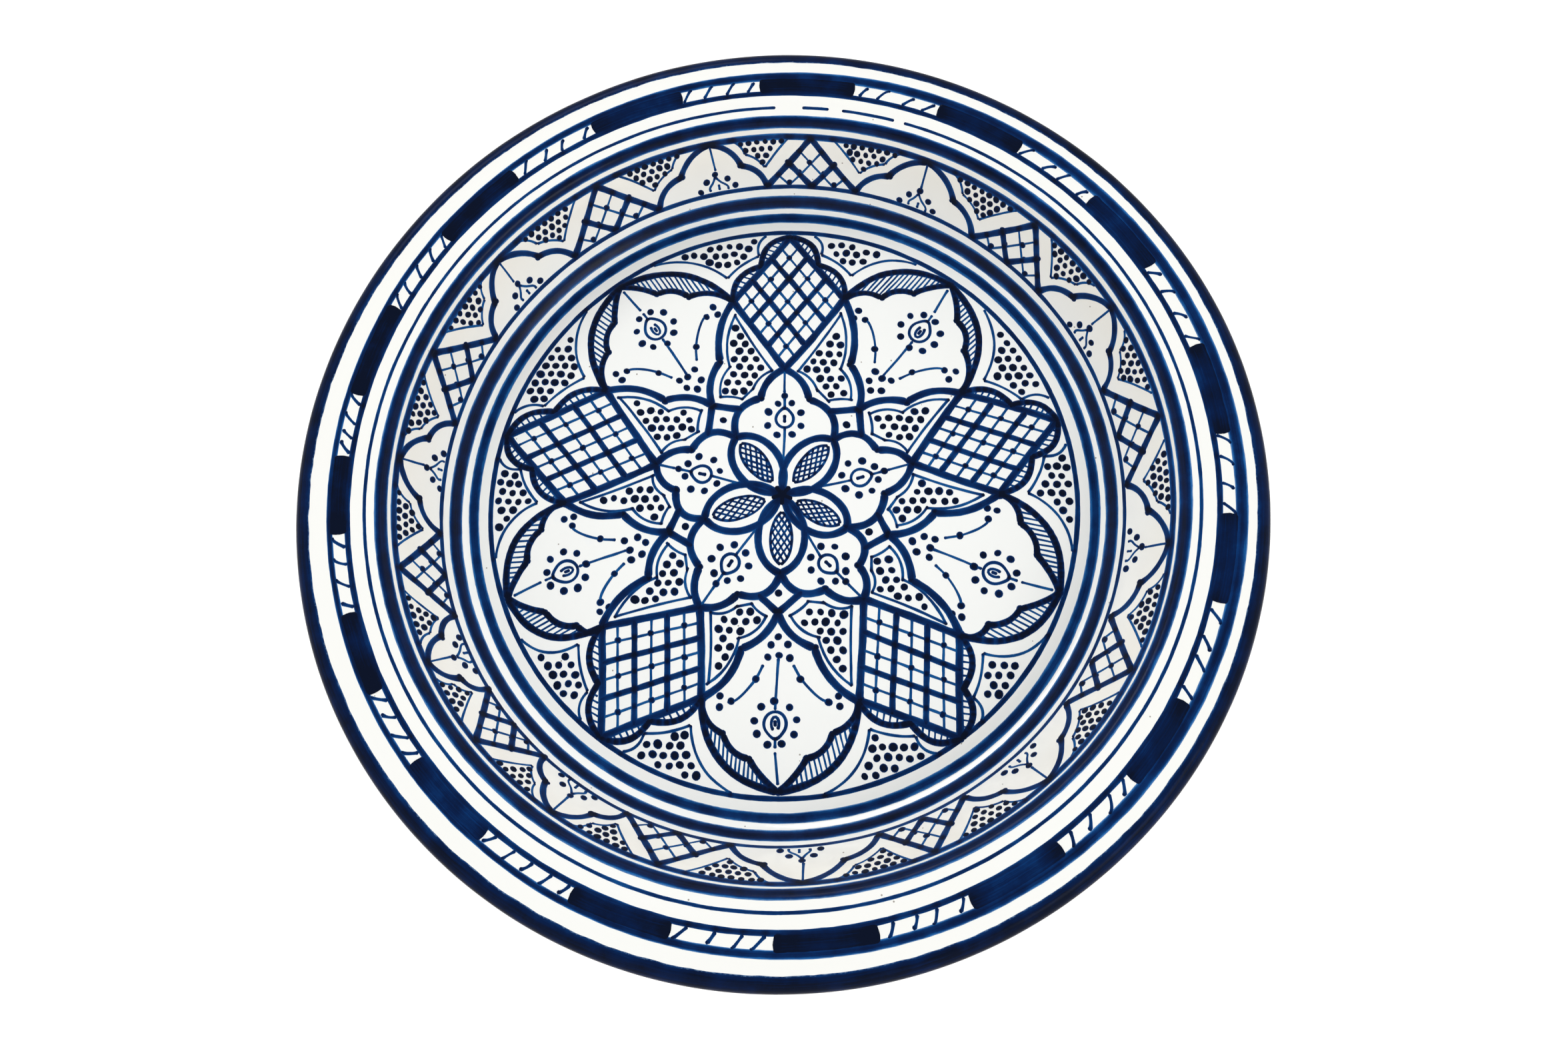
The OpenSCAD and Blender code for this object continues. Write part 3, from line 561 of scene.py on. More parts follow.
        # Strokes: wobble, pressure and round ends
        drawn = t.node("GeometryNodeMeshToCurve", {"Mesh": t.given("Geometry")}).outputs[0]
        shake = t.join_xyz(t.swing(here, 60.0, t.given("Wobble"), seed),
                           t.swing(here, 60.0, t.given("Wobble"), t.plus(seed, 7.3)), 0.0)
        drawn = t.place(drawn, t.vector("ADD", here, shake))
        run = t.node("GeometryNodeSplineParameter").outputs["Length"]
        total = t.node("GeometryNodeSplineLength").outputs["Length"]
        width = t.named("half_width")
        to_end = t.over(t.math("MINIMUM", run, t.less(total, run)), width)
        hollow = t.less(1.0, t.math("MINIMUM", t.over(to_end, t.given("Tip")), 1.0))
        cap = t.math("SQRT", t.math("MAXIMUM", t.less(1.0, t.times(hollow, hollow)), 0.02))
        ring = t.node("GeometryNodeInputSplineCyclic").outputs[0]
        cap = t.math("MAXIMUM", cap, ring)
        from_end = t.less(1.0, t.over(to_end, 3.0), clamp=True)
        landed = t.times(from_end, t.less(1.0, ring))
        press = t.plus(1.0, t.plus(t.swing(here, 120.0, t.given("Uneven"), t.plus(seed, 2.1)),
                                          t.times(t.given("Blob"), landed)))
        drawn = t.store(drawn, "reach", t.times(width, t.times(cap, press)))
        tangent = t.node("GeometryNodeInputTangent").outputs[0]
        side = t.vector("CROSS_PRODUCT", (0.0, 0.0, 1.0), tangent)
        drawn = t.store(drawn, "side", side, "FLOAT_VECTOR")
        drawn = t.store(drawn, "along", run)
        wet = t.plus(t.named("load"), t.times(landed, 0.22))
        drawn = t.store(drawn, "load", wet)
        tip = t.node("GeometryNodeCurvePrimitiveLine",
                     {"Start": (1.0, 0.0, 0.0), "End": (-1.0, 0.0, 0.0)}).outputs[0]
        tip = t.node("GeometryNodeResampleCurve", {"Curve": tip, "Count": t.given("Across")},
                     mode="COUNT").outputs[0]
        tip = t.store(tip, "across", t.split_xyz(here)[0])
        ribbon = t.node("GeometryNodeCurveToMesh",
                        {"Curve": drawn, "Profile Curve": tip, "Scale": 0.0}).outputs[0]
        spread = t.vector("SCALE", t.named("side", "FLOAT_VECTOR"),
                          scale=t.times(t.named("across"), t.named("reach")))
        ribbon = t.place(ribbon, t.vector("ADD", here, spread))
        # Dots: one touch of a loaded brush each
        alone = t.node("FunctionNodeCompare",
                       {2: t.node("GeometryNodeInputMeshVertexNeighbors").outputs[0], 3: 0},
                       data_type="INT", operation="EQUAL").outputs[0]
        spots = t.node("GeometryNodeMeshToPoints",
                       {"Mesh": t.given("Geometry"), "Selection": alone}).outputs[0]
        touch = t.node("GeometryNodeMeshCone", {"Vertices": 12, "Side Segments": 2,
                                                "Radius Top": 0.0, "Radius Bottom": 1.0, "Depth": 0.01},
                       fill_type="NONE").outputs[0]
        flat = t.vector("MULTIPLY", here, (1.0, 1.0, 0.0))
        far = t.length(flat)
        fuller = t.over(t.math("POWER", far, 0.45), t.math("MAXIMUM", far, 0.001))
        touch = t.place(touch, t.vector("SCALE", flat, scale=fuller))
        touch = t.store(touch, "across", t.length(here))
        turn = t.node("FunctionNodeRandomValue", {2: 0.0, 3: 6.28, 8: 4}, data_type="FLOAT").outputs[1]
        stretch = t.node("FunctionNodeRandomValue", {2: 0.86, 3: 1.14, 8: 9}, data_type="FLOAT").outputs[1]
        size = t.join_xyz(t.times(t.named("half_width"), stretch), t.named("half_width"), 0.0)
        twist = t.node("FunctionNodeEulerToRotation", {0: t.join_xyz(0.0, 0.0, turn)}).outputs[0]
        blobs = t.node("GeometryNodeInstanceOnPoints", {"Points": spots, "Instance": touch, "Rotation": twist,
                                                        "Scale": size}).outputs[0]
        blobs = t.node("GeometryNodeRealizeInstances", {"Geometry": blobs}).outputs[0]
        both = t.node("GeometryNodeJoinGeometry")
        t.tree.links.new(blobs, both.inputs[0])
        t.tree.links.new(ribbon, both.inputs[0])
        # The wet edge creeps, and the whole lies on the face
        creep = t.join_xyz(t.swing(here, 620.0, t.given("Ragged"), seed),
                           t.swing(here, 620.0, t.given("Ragged"), t.plus(seed, 4.4)), 0.0)
        flat_place = t.vector("ADD", here, creep)
        across = t.named("across")
        dome = t.math("SQRT", t.math("MAXIMUM", t.less(1.0, t.times(across, across)), 0.0))
        body = t.times(t.given("Relief"), t.plus(0.45, t.times(t.named("load"), 0.55)))
        lift = t.plus(t.times(body, dome), t.given("Layer"))
        x, y, _ = t.split_xyz(flat_place)
        reach = t.length(flat_place)
        line = t.node("GeometryNodeMeshToCurve", {"Mesh": t.object_geometry("Face line")}).outputs[0]
        sample = t.node("GeometryNodeSampleCurve", {"Curves": line, "Length": reach}, mode="LENGTH",
                        data_type="FLOAT_VECTOR", use_all_curves=False)
        t.tree.links.new(t.named("out", "FLOAT_VECTOR"), sample.inputs["Value"])
        spot = self._around(t, sample.outputs["Position"], sample.outputs["Value"], t.math("ARCTAN2", y, x),
                            lift)
        laid = t.place(both.outputs[0], spot)
        soft = t.node("GeometryNodeSetShadeSmooth", {"Geometry": laid}).outputs[0]
        whole = t.node("GeometryNodeRealizeInstances", {"Geometry": soft}).outputs[0]
        return t.finish(t.node("GeometryNodeSetMaterial", {"Geometry": whole,
                                                           "Material": t.given("Material")}).outputs[0])


def placed(name: str, data: bpy.types.ID) -> bpy.types.Object:
    """A new object at the origin, in the scene.

    Args:
        name: Its name.
        data: Its mesh, lamp or camera.

    Returns:
        The object.
    """
    made = bpy.data.objects.new(name, data)
    bpy.context.scene.collection.objects.link(made)
    return made


def section_object(name: str, spots: list[Spot]) -> bpy.types.Object:
    """A helper line through spots of the section, with the direction out stored on it.

    Args:
        name: Name of the helper.
        spots: The spots, in millimetres.

    Returns:
        The helper object, which the trees read and which is removed at the end.
    """
    mesh = bpy.data.meshes.new(name)
    mesh.from_pydata([(s.radius * MM, 0.0, s.height * MM) for s in spots],
                     [(i, i + 1) for i in range(len(spots) - 1)], [])
    out = mesh.attributes.new("out", "FLOAT_VECTOR", "POINT")
    for i, s in enumerate(spots):
        out.data[i].vector = (s.out[0], 0.0, s.out[1])
    made = placed(name, mesh)
    return made


def run_tree(made: bpy.types.Object, tree: bpy.types.NodeTree, values: dict[str, object],
             material: bpy.types.Material) -> bpy.types.Object:
    """Runs a tree on an object and keeps the result as a plain mesh.

    Args:
        made: The object that carries the input.
        tree: The Geometry Nodes tree.
        values: Value of each named input.
        material: The finish.

    Returns:
        The object, with the result as its mesh.
    """
    modifier = made.modifiers.new("maker", "NODES")
    modifier.node_group = tree
    sockets = {s.name: s.identifier for s in tree.interface.items_tree if s.in_out == "INPUT"}
    for name, value in {**values, "Material": material}.items():
        modifier[sockets[name]] = value
    graph = bpy.context.evaluated_depsgraph_get()
    graph.update()
    mesh = bpy.data.meshes.new_from_object(made.evaluated_get(graph), preserve_all_data_layers=True,
                                           depsgraph=graph)
    made.modifiers.clear()
    made.data = mesh
    mesh.name = made.name
    if not mesh.materials:
        mesh.materials.append(material)
    return made


# ---- Finishes ----
class Finish:
    """A finish builds one material."""

    name: str = "finish"

    def sheet(self) -> tuple[bpy.types.Material, NodeSheet, bpy.types.Node]:
        """Starts a material; returns it with its node sheet and its main shader.

        Returns:
            The material, its node sheet and its main shader.
        """
        made = bpy.data.materials.new(self.name)
        made.use_nodes = True
        sheet = NodeSheet(made.node_tree)
        shader = next(n for n in made.node_tree.nodes if n.type == "BSDF_PRINCIPLED")
        return made, sheet, shader

    @staticmethod
    def ramp(sheet: NodeSheet, at: Feed, stops: Iterable[tuple[float, Colour]]) -> bpy.types.NodeSocket:
        """A colour ramp; returns its colour.

        Args:
            sheet: Where its node goes.
            at: Position on the ramp.
            stops: Positions and colours.

        Returns:
            The colour.
        """
        node = sheet.node("ShaderNodeValToRGB", {0: at})
        stops = list(stops)
        while len(node.color_ramp.elements) < len(stops):
            node.color_ramp.elements.new(0.5)
        for element, (position, colour) in zip(node.color_ramp.elements, stops):
            element.position = position
            element.color = (*linear(colour), 1.0)
        return node.outputs[0]

    @staticmethod
    def blend(sheet: NodeSheet, share: Feed, a: Feed, b: Feed) -> bpy.types.NodeSocket:
        """Two colours mixed by a share."""
        return sheet.node("ShaderNodeMix", {0: share, 6: a, 7: b}, data_type="RGBA").outputs[2]


def linear(colour: Colour) -> Colour:
    """A colour as seen, 0 to 255, as the light that makes it."""
    shares = [c / 255 for c in colour]
    return tuple(s / 12.92 if s <= 0.04045 else ((s + 0.055) / 1.055) ** 2.4 for s in shares)  # type: ignore


@dataclass(frozen=True)
class WhiteGlaze(Finish):
    """A thick white glaze, warmer and darker on the wall: partly the glaze's own cream where it runs thin,
    partly painted shade; with fine specks and a soft orange-peel surface.
    """
    name: str = "white_glaze"
    cool: Colour = (244, 245, 242)
    warm_shade: Colour = (236, 232, 222)
    speck: Colour = (120, 110, 96)
    blush: Colour = (206, 218, 232)
    roughness: float = 0.09
    speck_share: float = 0.07

    def build(self) -> bpy.types.Material:
        """Builds the material.

        Returns:
            The material.
        """
        made, s, shader = self.sheet()
        at = s.node("ShaderNodeTexCoord").outputs["Object"]
        _, _, height = s.split_xyz(at)
        # Painted shade: the wall, from 19 to 45 mm up, is mixed toward the warmer, darker white, and the
        # flange above 54 mm much less; this is partly the glaze's own cream and partly painted shade.
        wall = s.node("ShaderNodeMapRange", {0: height, 1: 0.019, 2: 0.045, 3: 0.0, 4: 1.0}).outputs[0]
        rim = s.node("ShaderNodeMapRange", {0: height, 1: 0.054, 2: 0.0575, 3: 1.0, 4: 0.25}).outputs[0]
        drift = s.noise(at, 14.0, 4.0, 1.0)
        wall_cream_and_shade = s.times(s.times(wall, rim), s.plus(drift, 0.35), clamp=True)
        base = self.blend(s, s.times(wall_cream_and_shade, 0.95), (*linear(self.cool), 1.0), (*linear(self.warm_shade), 1.0))
        cloud = s.times(s.less(s.noise(at, 32.0, 5.0, 6.0), 0.66, clamp=True), 2.2, clamp=True)
        base = self.blend(s, cloud, base, (*linear(self.blush), 1.0))
        cells = s.node("ShaderNodeTexVoronoi", {"Vector": at, "Scale": 210.0}, feature="F1")
        near = s.math("LESS_THAN", cells.outputs["Distance"], 0.085)
        chosen = s.math("LESS_THAN", s.split_xyz(cells.outputs["Color"])[0], self.speck_share)
        base = self.blend(s, s.times(s.times(near, chosen), 0.75), base,
                          (*linear(self.speck), 1.0))
        s.tree.links.new(base, shader.inputs["Base Color"])
        smear = s.math("MULTIPLY_ADD", s.noise(at, 40.0, 3.0, 2.0), 0.07, self.roughness - 0.03)
        s.tree.links.new(smear, shader.inputs["Roughness"])
        shader.inputs["IOR"].default_value = 1.52
        peel = s.plus(s.noise(at, 420.0, 2.0, 3.0), s.times(s.noise(at, 90.0, 2.0, 5.0), 1.6))
        bump = s.node("ShaderNodeBump", {"Strength": 0.12, "Distance": 0.0004, "Height": peel})
        s.tree.links.new(bump.outputs[0], shader.inputs["Normal"])
        return made


@dataclass(frozen=True)
class Cobalt(Finish):
    """Cobalt brush work under a gloss: bright and thin at a stroke's edge, nearly black where it pools."""
    name: str = "cobalt"
    fringe: Colour = (120, 158, 196)
    thin: Colour = (22, 82, 140)
    body: Colour = (13, 50, 102)
    deep: Colour = (11, 30, 68)
    pooled: Colour = (13, 20, 38)
    shift: float = 0.0
    edge_fall: float = 0.62
    edge_power: float = 2.4
    streaks: float = 0.5
    pools: float = 0.7
    bristles: float = 3.6
    drag: float = 70.0
    bleed_from: float = 0.93
    shine: float = 0.06
    roughness: float = 0.14

    def build(self) -> bpy.types.Material:
        """Builds the material.

        Returns:
            The material.
        """
        made, s, shader = self.sheet()
        at = s.node("ShaderNodeTexCoord").outputs["Object"]
        across = s.node("ShaderNodeAttribute", attribute_name="across").outputs["Fac"]
        load = s.node("ShaderNodeAttribute", attribute_name="load").outputs["Fac"]
        along = s.node("ShaderNodeAttribute", attribute_name="along").outputs["Fac"]
        off = s.math("ABSOLUTE", across)
        bristles = s.join_xyz(s.times(across, self.bristles), s.times(along, self.drag), 0.0)
        streak = s.less(s.noise(bristles, 1.0, 4.0, 1.5, 0.62), 0.5)
        pool = s.less(s.noise(at, 95.0, 3.0, 4.0), 0.5)
        grain = s.less(s.noise(at, 900.0, 2.0, 9.0), 0.5)
        thick = s.plus(load, self.shift)
        thick = s.times(thick, s.less(1.0, s.times(s.math("POWER", off, self.edge_power),
                                                                        self.edge_fall)))
        thick = s.plus(thick, s.times(streak, self.streaks))
        thick = s.plus(thick, s.times(pool, self.pools))
        thick = s.plus(thick, s.times(grain, 0.1), clamp=True)
        colour = self.ramp(s, thick, ((0.0, self.thin), (0.22, self.thin), (0.45, self.body),
                                      (0.72, self.deep),
                                      (1.0, self.pooled)))
        bleed = s.node("ShaderNodeMapRange", {0: s.plus(off, s.times(grain, 0.2)),
                                              1: self.bleed_from, 2: 1.05, 3: 0.0, 4: 0.75}).outputs[0]
        colour = self.blend(s, bleed, colour, (*linear(self.fringe), 1.0))
        s.tree.links.new(colour, shader.inputs["Base Color"])
        s.tree.links.new(s.math("MULTIPLY_ADD", s.noise(at, 70.0, 2.0, 2.0), 0.1, self.roughness - 0.05),
                         shader.inputs["Roughness"])
        shader.inputs["IOR"].default_value = 1.52
        shader.inputs["Specular IOR Level"].default_value = self.shine
        bump = s.node("ShaderNodeBump", {"Strength": 0.15, "Distance": 0.0003,
                                         "Height": s.plus(streak, s.noise(at, 420.0, 2.0, 3.0))})
        s.tree.links.new(bump.outputs[0], shader.inputs["Normal"])
        return made


@dataclass(frozen=True)
class BareClay(Finish):
    """Fired earthenware without glaze: sandy, mottled and rough."""
    name: str = "bare_clay"
    light: Colour = (204, 164, 130)
    dark: Colour = (170, 120, 90)
    grog: Colour = (110, 76, 58)

    def build(self) -> bpy.types.Material:
        """Builds the material.

        Returns:
            The material.
        """
        made, s, shader = self.sheet()
        at = s.node("ShaderNodeTexCoord").outputs["Object"]
        x, y, z = s.split_xyz(at)
        radius = s.math("SQRT", s.plus(s.times(x, x), s.times(y, y)))
        turned = s.noise(s.join_xyz(radius, z, 0.0), 900.0, 3.0, 2.0)
        colour = self.ramp(s, s.math("MULTIPLY_ADD", s.noise(at, 55.0, 5.0, 1.0), 0.8,
                                     s.times(turned, 0.25)),
                           ((0.3, self.dark), (0.75, self.light)))
        cells = s.node("ShaderNodeTexVoronoi", {"Vector": at, "Scale": 520.0}, feature="F1")
        speck = s.math("LESS_THAN", cells.outputs["Distance"], 0.16)
        colour = self.blend(s, s.times(speck, 0.55), colour, (*linear(self.grog), 1.0))
        s.tree.links.new(colour, shader.inputs["Base Color"])
        shader.inputs["Roughness"].default_value = 0.88
        bump = s.node("ShaderNodeBump", {"Strength": 0.5, "Distance": 0.0004,
                                         "Height": s.plus(s.noise(at, 1200.0, 3.0, 3.0), turned)})
        s.tree.links.new(bump.outputs[0], shader.inputs["Normal"])
        return made


@dataclass(frozen=True)
class StudioFloor(Finish):
    """Plain pale paper."""
    name: str = "studio_floor"
    colour: Colour = (250, 250, 249)
    glow: float = 0.22

    def build(self) -> bpy.types.Material:
        """Builds the material.

        Returns:
            The material.
        """
        made, s, shader = self.sheet()
        at = s.node("ShaderNodeTexCoord").outputs["Object"]
        shade = s.math("MULTIPLY_ADD", s.noise(at, 3.0, 2.0), 0.01, 0.0)
        s.tree.links.new(self.blend(s, shade, (*linear(self.colour), 1.0), (0.8, 0.8, 0.8, 1.0)),
                         shader.inputs["Base Color"])
        shader.inputs["Emission Color"].default_value = (1.0, 1.0, 1.0, 1.0)
        shader.inputs["Emission Strength"].default_value = self.glow
        shader.inputs["Roughness"].default_value = 0.95
        return made


class Paint(Enum):
    """The strengths of cobalt, and how they are put on."""
    COBALT = "cobalt"
    DARK = "dark_cobalt"
    LIGHT = "light_cobalt"
    BAND = "cobalt.band"
    DARK_BAND = "dark_cobalt.band"
    LIP = "dark_cobalt.lip"

    @property
    def slot(self) -> str:
        """The record's material slot."""
        return self.value.split(".")[0]


# ---- Brush work ----
@dataclass
class Stroke:
    """One stroke: its path and half width, with how much colour the brush holds."""
    path: Path
    half_width: float
    load: float
    closed: bool = False
    pressure: Optional[Callable[[float], float]] = None


@dataclass
class Layer:
    """The marks of one brush over one kind of motif."""
    name: str
    paint: Paint
    relief: float = 0.09
    across: int = 5
    wobble: float = 0.16
    uneven: float = 0.13
    blob: float = 0.12
    ragged: float = 0.05
    tip: float = 1.0
    step: float = 1.1
    strokes: list[Stroke] = field(default_factory=list)
    dots: list[tuple[Point, float, float]] = field(default_factory=list)

    def stroke(self, path: Path, width: float, load: float = 0.6, closed: bool = False,
               pressure: Optional[Callable[[float], float]] = None) -> None:
        """Adds a stroke of a given width."""
        self.strokes.append(Stroke(self._even(path, width / 2, closed), width / 2, load, closed, pressure))

    def line(self, a: Point, b: Point, width: float, load: float = 0.6) -> None:
        """Adds a straight stroke."""
        self.stroke([a, b], width, load)

    def dot(self, at: Point, radius: float, load: float = 1.0) -> None:
        """Adds a touch of the brush."""
        self.dots.append((at, radius, load))

    def _even(self, path: Path, half: float, closed: bool) -> Path:
        """Spaces the points of a path evenly, with closer ones where its ends are rounded.

        Args:
            path: The points as drawn.
            half: Half the width of the stroke.
            closed: Whether the path runs back into itself.

        Returns:
            The points as laid.
        """
        if closed:
            return path
        runs = [0.0]
        for a, b in zip(path, path[1:]):
            runs.append(runs[-1] + abs(b - a))
        total = runs[-1]
        cuts = [0.0, 0.1 * half, 0.35 * half, 0.7 * half]
        count = max(1, round((total - 2 * half) / self.step)) if total > 2.4 * half else 1
        inner = [half + (total - 2 * half) * i / count
                 for i in range(count + 1)] if total > 2.4 * half else [total / 2]
        places = sorted({round(p, 4) for p in cuts + inner + [total - c for c in cuts] if 0 <= p <= total})
        even, k = [], 0
        for place in places:
            while k < len(runs) - 2 and runs[k + 1] < place:
                k += 1
            even.append(mix(path[k], path[k + 1], (place - runs[k]) / max(runs[k + 1] - runs[k], 1e-9)))
        return even


class Painter:
    """Turns layers of brush work into pieces on the face."""

    def __init__(self, wheel: Wheel, finishes: dict[Paint, bpy.types.Material]) -> None:
        """Keeps the wheel and the mixed colours.

        Args:
            wheel: The wheel.
            finishes: Material of each paint.
        """
        self.wheel = wheel
        self.finishes = finishes
        self.count = 0

    @staticmethod
    def pool(layers: list[Layer]) -> dict[tuple[int, int], list[float]]:
        """Finds where strokes cross or meet, where the colour lies double.

        Args:
            layers: All layers.

        Returns:
            The load of each point of each stroke, by layer and stroke number.
        """
        marks = [(p, s.half_width, (i, j)) for i, layer in enumerate(layers) for j,
                 s in enumerate(layer.strokes)
                 if s.half_width < 1.8 for p in s.path]
        tree = KDTree(len(marks))
        for k, (p, _, _) in enumerate(marks):
            tree.insert((p.real, p.imag, 0.0), k)
        tree.balance()
        loads: dict[tuple[int, int], list[float]] = {}
        for i, layer in enumerate(layers):
            for j, s in enumerate(layer.strokes):
                row = []
                for k, p in enumerate(s.path):
                    extra = 0.0
                    if s.half_width < 1.8:
                        for _, index, gap in tree.find_range((p.real, p.imag, 0.0), s.half_width + 1.2):
                            if marks[index][2] != (i, j):
                                reach = 0.75 * (s.half_width + marks[index][1])
                                extra = max(extra, 1.0 - gap / reach)
                    row.append(s.load + 0.42 * max(0.0, min(1.0, extra * 1.6)))
                loads[(i, j)] = row
        return loads

    def paint(self, layers: list[Layer]) -> None:
        """Makes one piece of each layer and puts it in place of its CAD node.

        Args:
            layers: The layers, in the order of painting.
        """
        loads = self.pool(layers)
        for i, layer in enumerate(layers):
            points: list[tuple[float, float, float]] = []
            edges: list[tuple[int, int]] = []
            halves: list[float] = []
            wet: list[float] = []
            for j, s in enumerate(layer.strokes):
                first = len(points)
                points += [(p.real * MM, p.imag * MM, 0.0) for p in s.path]
                edges += [(first + k, first + k + 1) for k in range(len(s.path) - 1)]
                if s.closed:
                    edges.append((len(points) - 1, first))
                press = s.pressure or (lambda t: 1.0)
                halves += [s.half_width * MM * press(k / max(1, len(s.path) - 1)) for k in range(len(s.path))]
                wet += loads[(i, j)]
            for at, radius, load in layer.dots:
                points.append((at.real * MM, at.imag * MM, 0.0))
                halves.append(radius * MM)
                wet.append(load)
            self._lay(layer, points, edges, halves, wet)

    def _lay(self, layer: Layer, points: list, edges: list, halves: list[float], wet: list[float]) -> None:
        """Runs the painting tree on one layer's drawing.

        Args:
            layer: The layer.
            points: Points of all strokes and dots, in metres.
            edges: Pairs of points that a stroke joins.
            halves: Half the width at each point.
            wet: Load of colour at each point.
        """
        mesh = bpy.data.meshes.new(layer.name + "_drawing")
        mesh.from_pydata(points, edges, [])
        for name, values in (("half_width", halves), ("load", wet)):
            mesh.attributes.new(name, "FLOAT", "POINT").data.foreach_set("value", values)
        piece = placed(layer.name + "_paint", mesh)
        self.count += 1
        run_tree(piece, self.wheel.painted, {
            "Face line": self.wheel.face_line, "Relief": layer.relief * MM, "Layer": self.count * 0.0012 * MM,
            "Across": layer.across, "Wobble": layer.wobble * MM, "Uneven": layer.uneven, "Blob": layer.blob,
            "Ragged": layer.ragged * MM, "Tip": layer.tip, "Seed": self.count * 1.37},
                 self.finishes[layer.paint])
        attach(piece, "root")
        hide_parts(layer.name)
        LOG.info("%s: %d strokes, %d dots, %d faces", piece.name, len(layer.strokes), len(layer.dots),
                 len(piece.data.polygons))


def clipped(a: Point, b: Point, outline: Path, step: float = 0.4) -> Optional[tuple[Point, Point]]:
    """The stretch of a straight line that lies inside an outline.

    Args:
        a: Start of the line.
        b: End of the line.
        outline: Closed outline.
        step: How finely the line is tried, in millimetres.

    Returns:
        The two ends of the stretch, or None where it is too short to draw.
    """
    count = max(2, round(abs(b - a) / step))
    held = [mix(a, b, i / count) for i in range(count + 1) if inside(mix(a, b, i / count), outline)]
    return (held[0], held[-1]) if len(held) * step > 1.5 else None


def packed_dots(outline: Path, pitch: float, margin: float, rng: random.Random) -> Path:
    """Dots that fill an outline as a painter sets them: about evenly, never on a grid.

    Args:
        outline: Closed outline.
        pitch: Distance from dot to dot.
        margin: Distance kept from the outline.
        rng: Source of the hand's unevenness.

    Returns:
        The places of the dots.
    """
    xs, ys = [p.real for p in outline], [p.imag for p in outline]
    dots: Path = []
    y = min(ys)
    row = 0
    while y < max(ys):
        x = min(xs) + (pitch / 2 if row % 2 else 0)
        while x < max(xs):
            p = complex(x, y)
            if inside(p, outline) and abs(p - nearest_on(p, outline)) > margin * 0.72:
                dots.append(p)
            x += pitch
        y += pitch * 0.87
        row += 1
    for _ in range(26):
        moved = []
        for i, p in enumerate(dots):
            push = 0j
            for j, q in enumerate(dots):
                if i != j and abs(p - q) < pitch * 1.08:
                    push += unit(p - q) * (pitch * 1.08 - abs(p - q)) * 0.22
            edge = nearest_on(p, outline)
            gap = abs(p - edge)
            if gap < margin and gap > 1e-6:
                push += unit(p - edge) * (margin - gap) * 0.6
            moved.append(p + push)
        dots = [p for p in moved if inside(p, outline)]
    return [p + complex(rng.uniform(-0.22, 0.22), rng.uniform(-0.22, 0.22)) for p in dots]


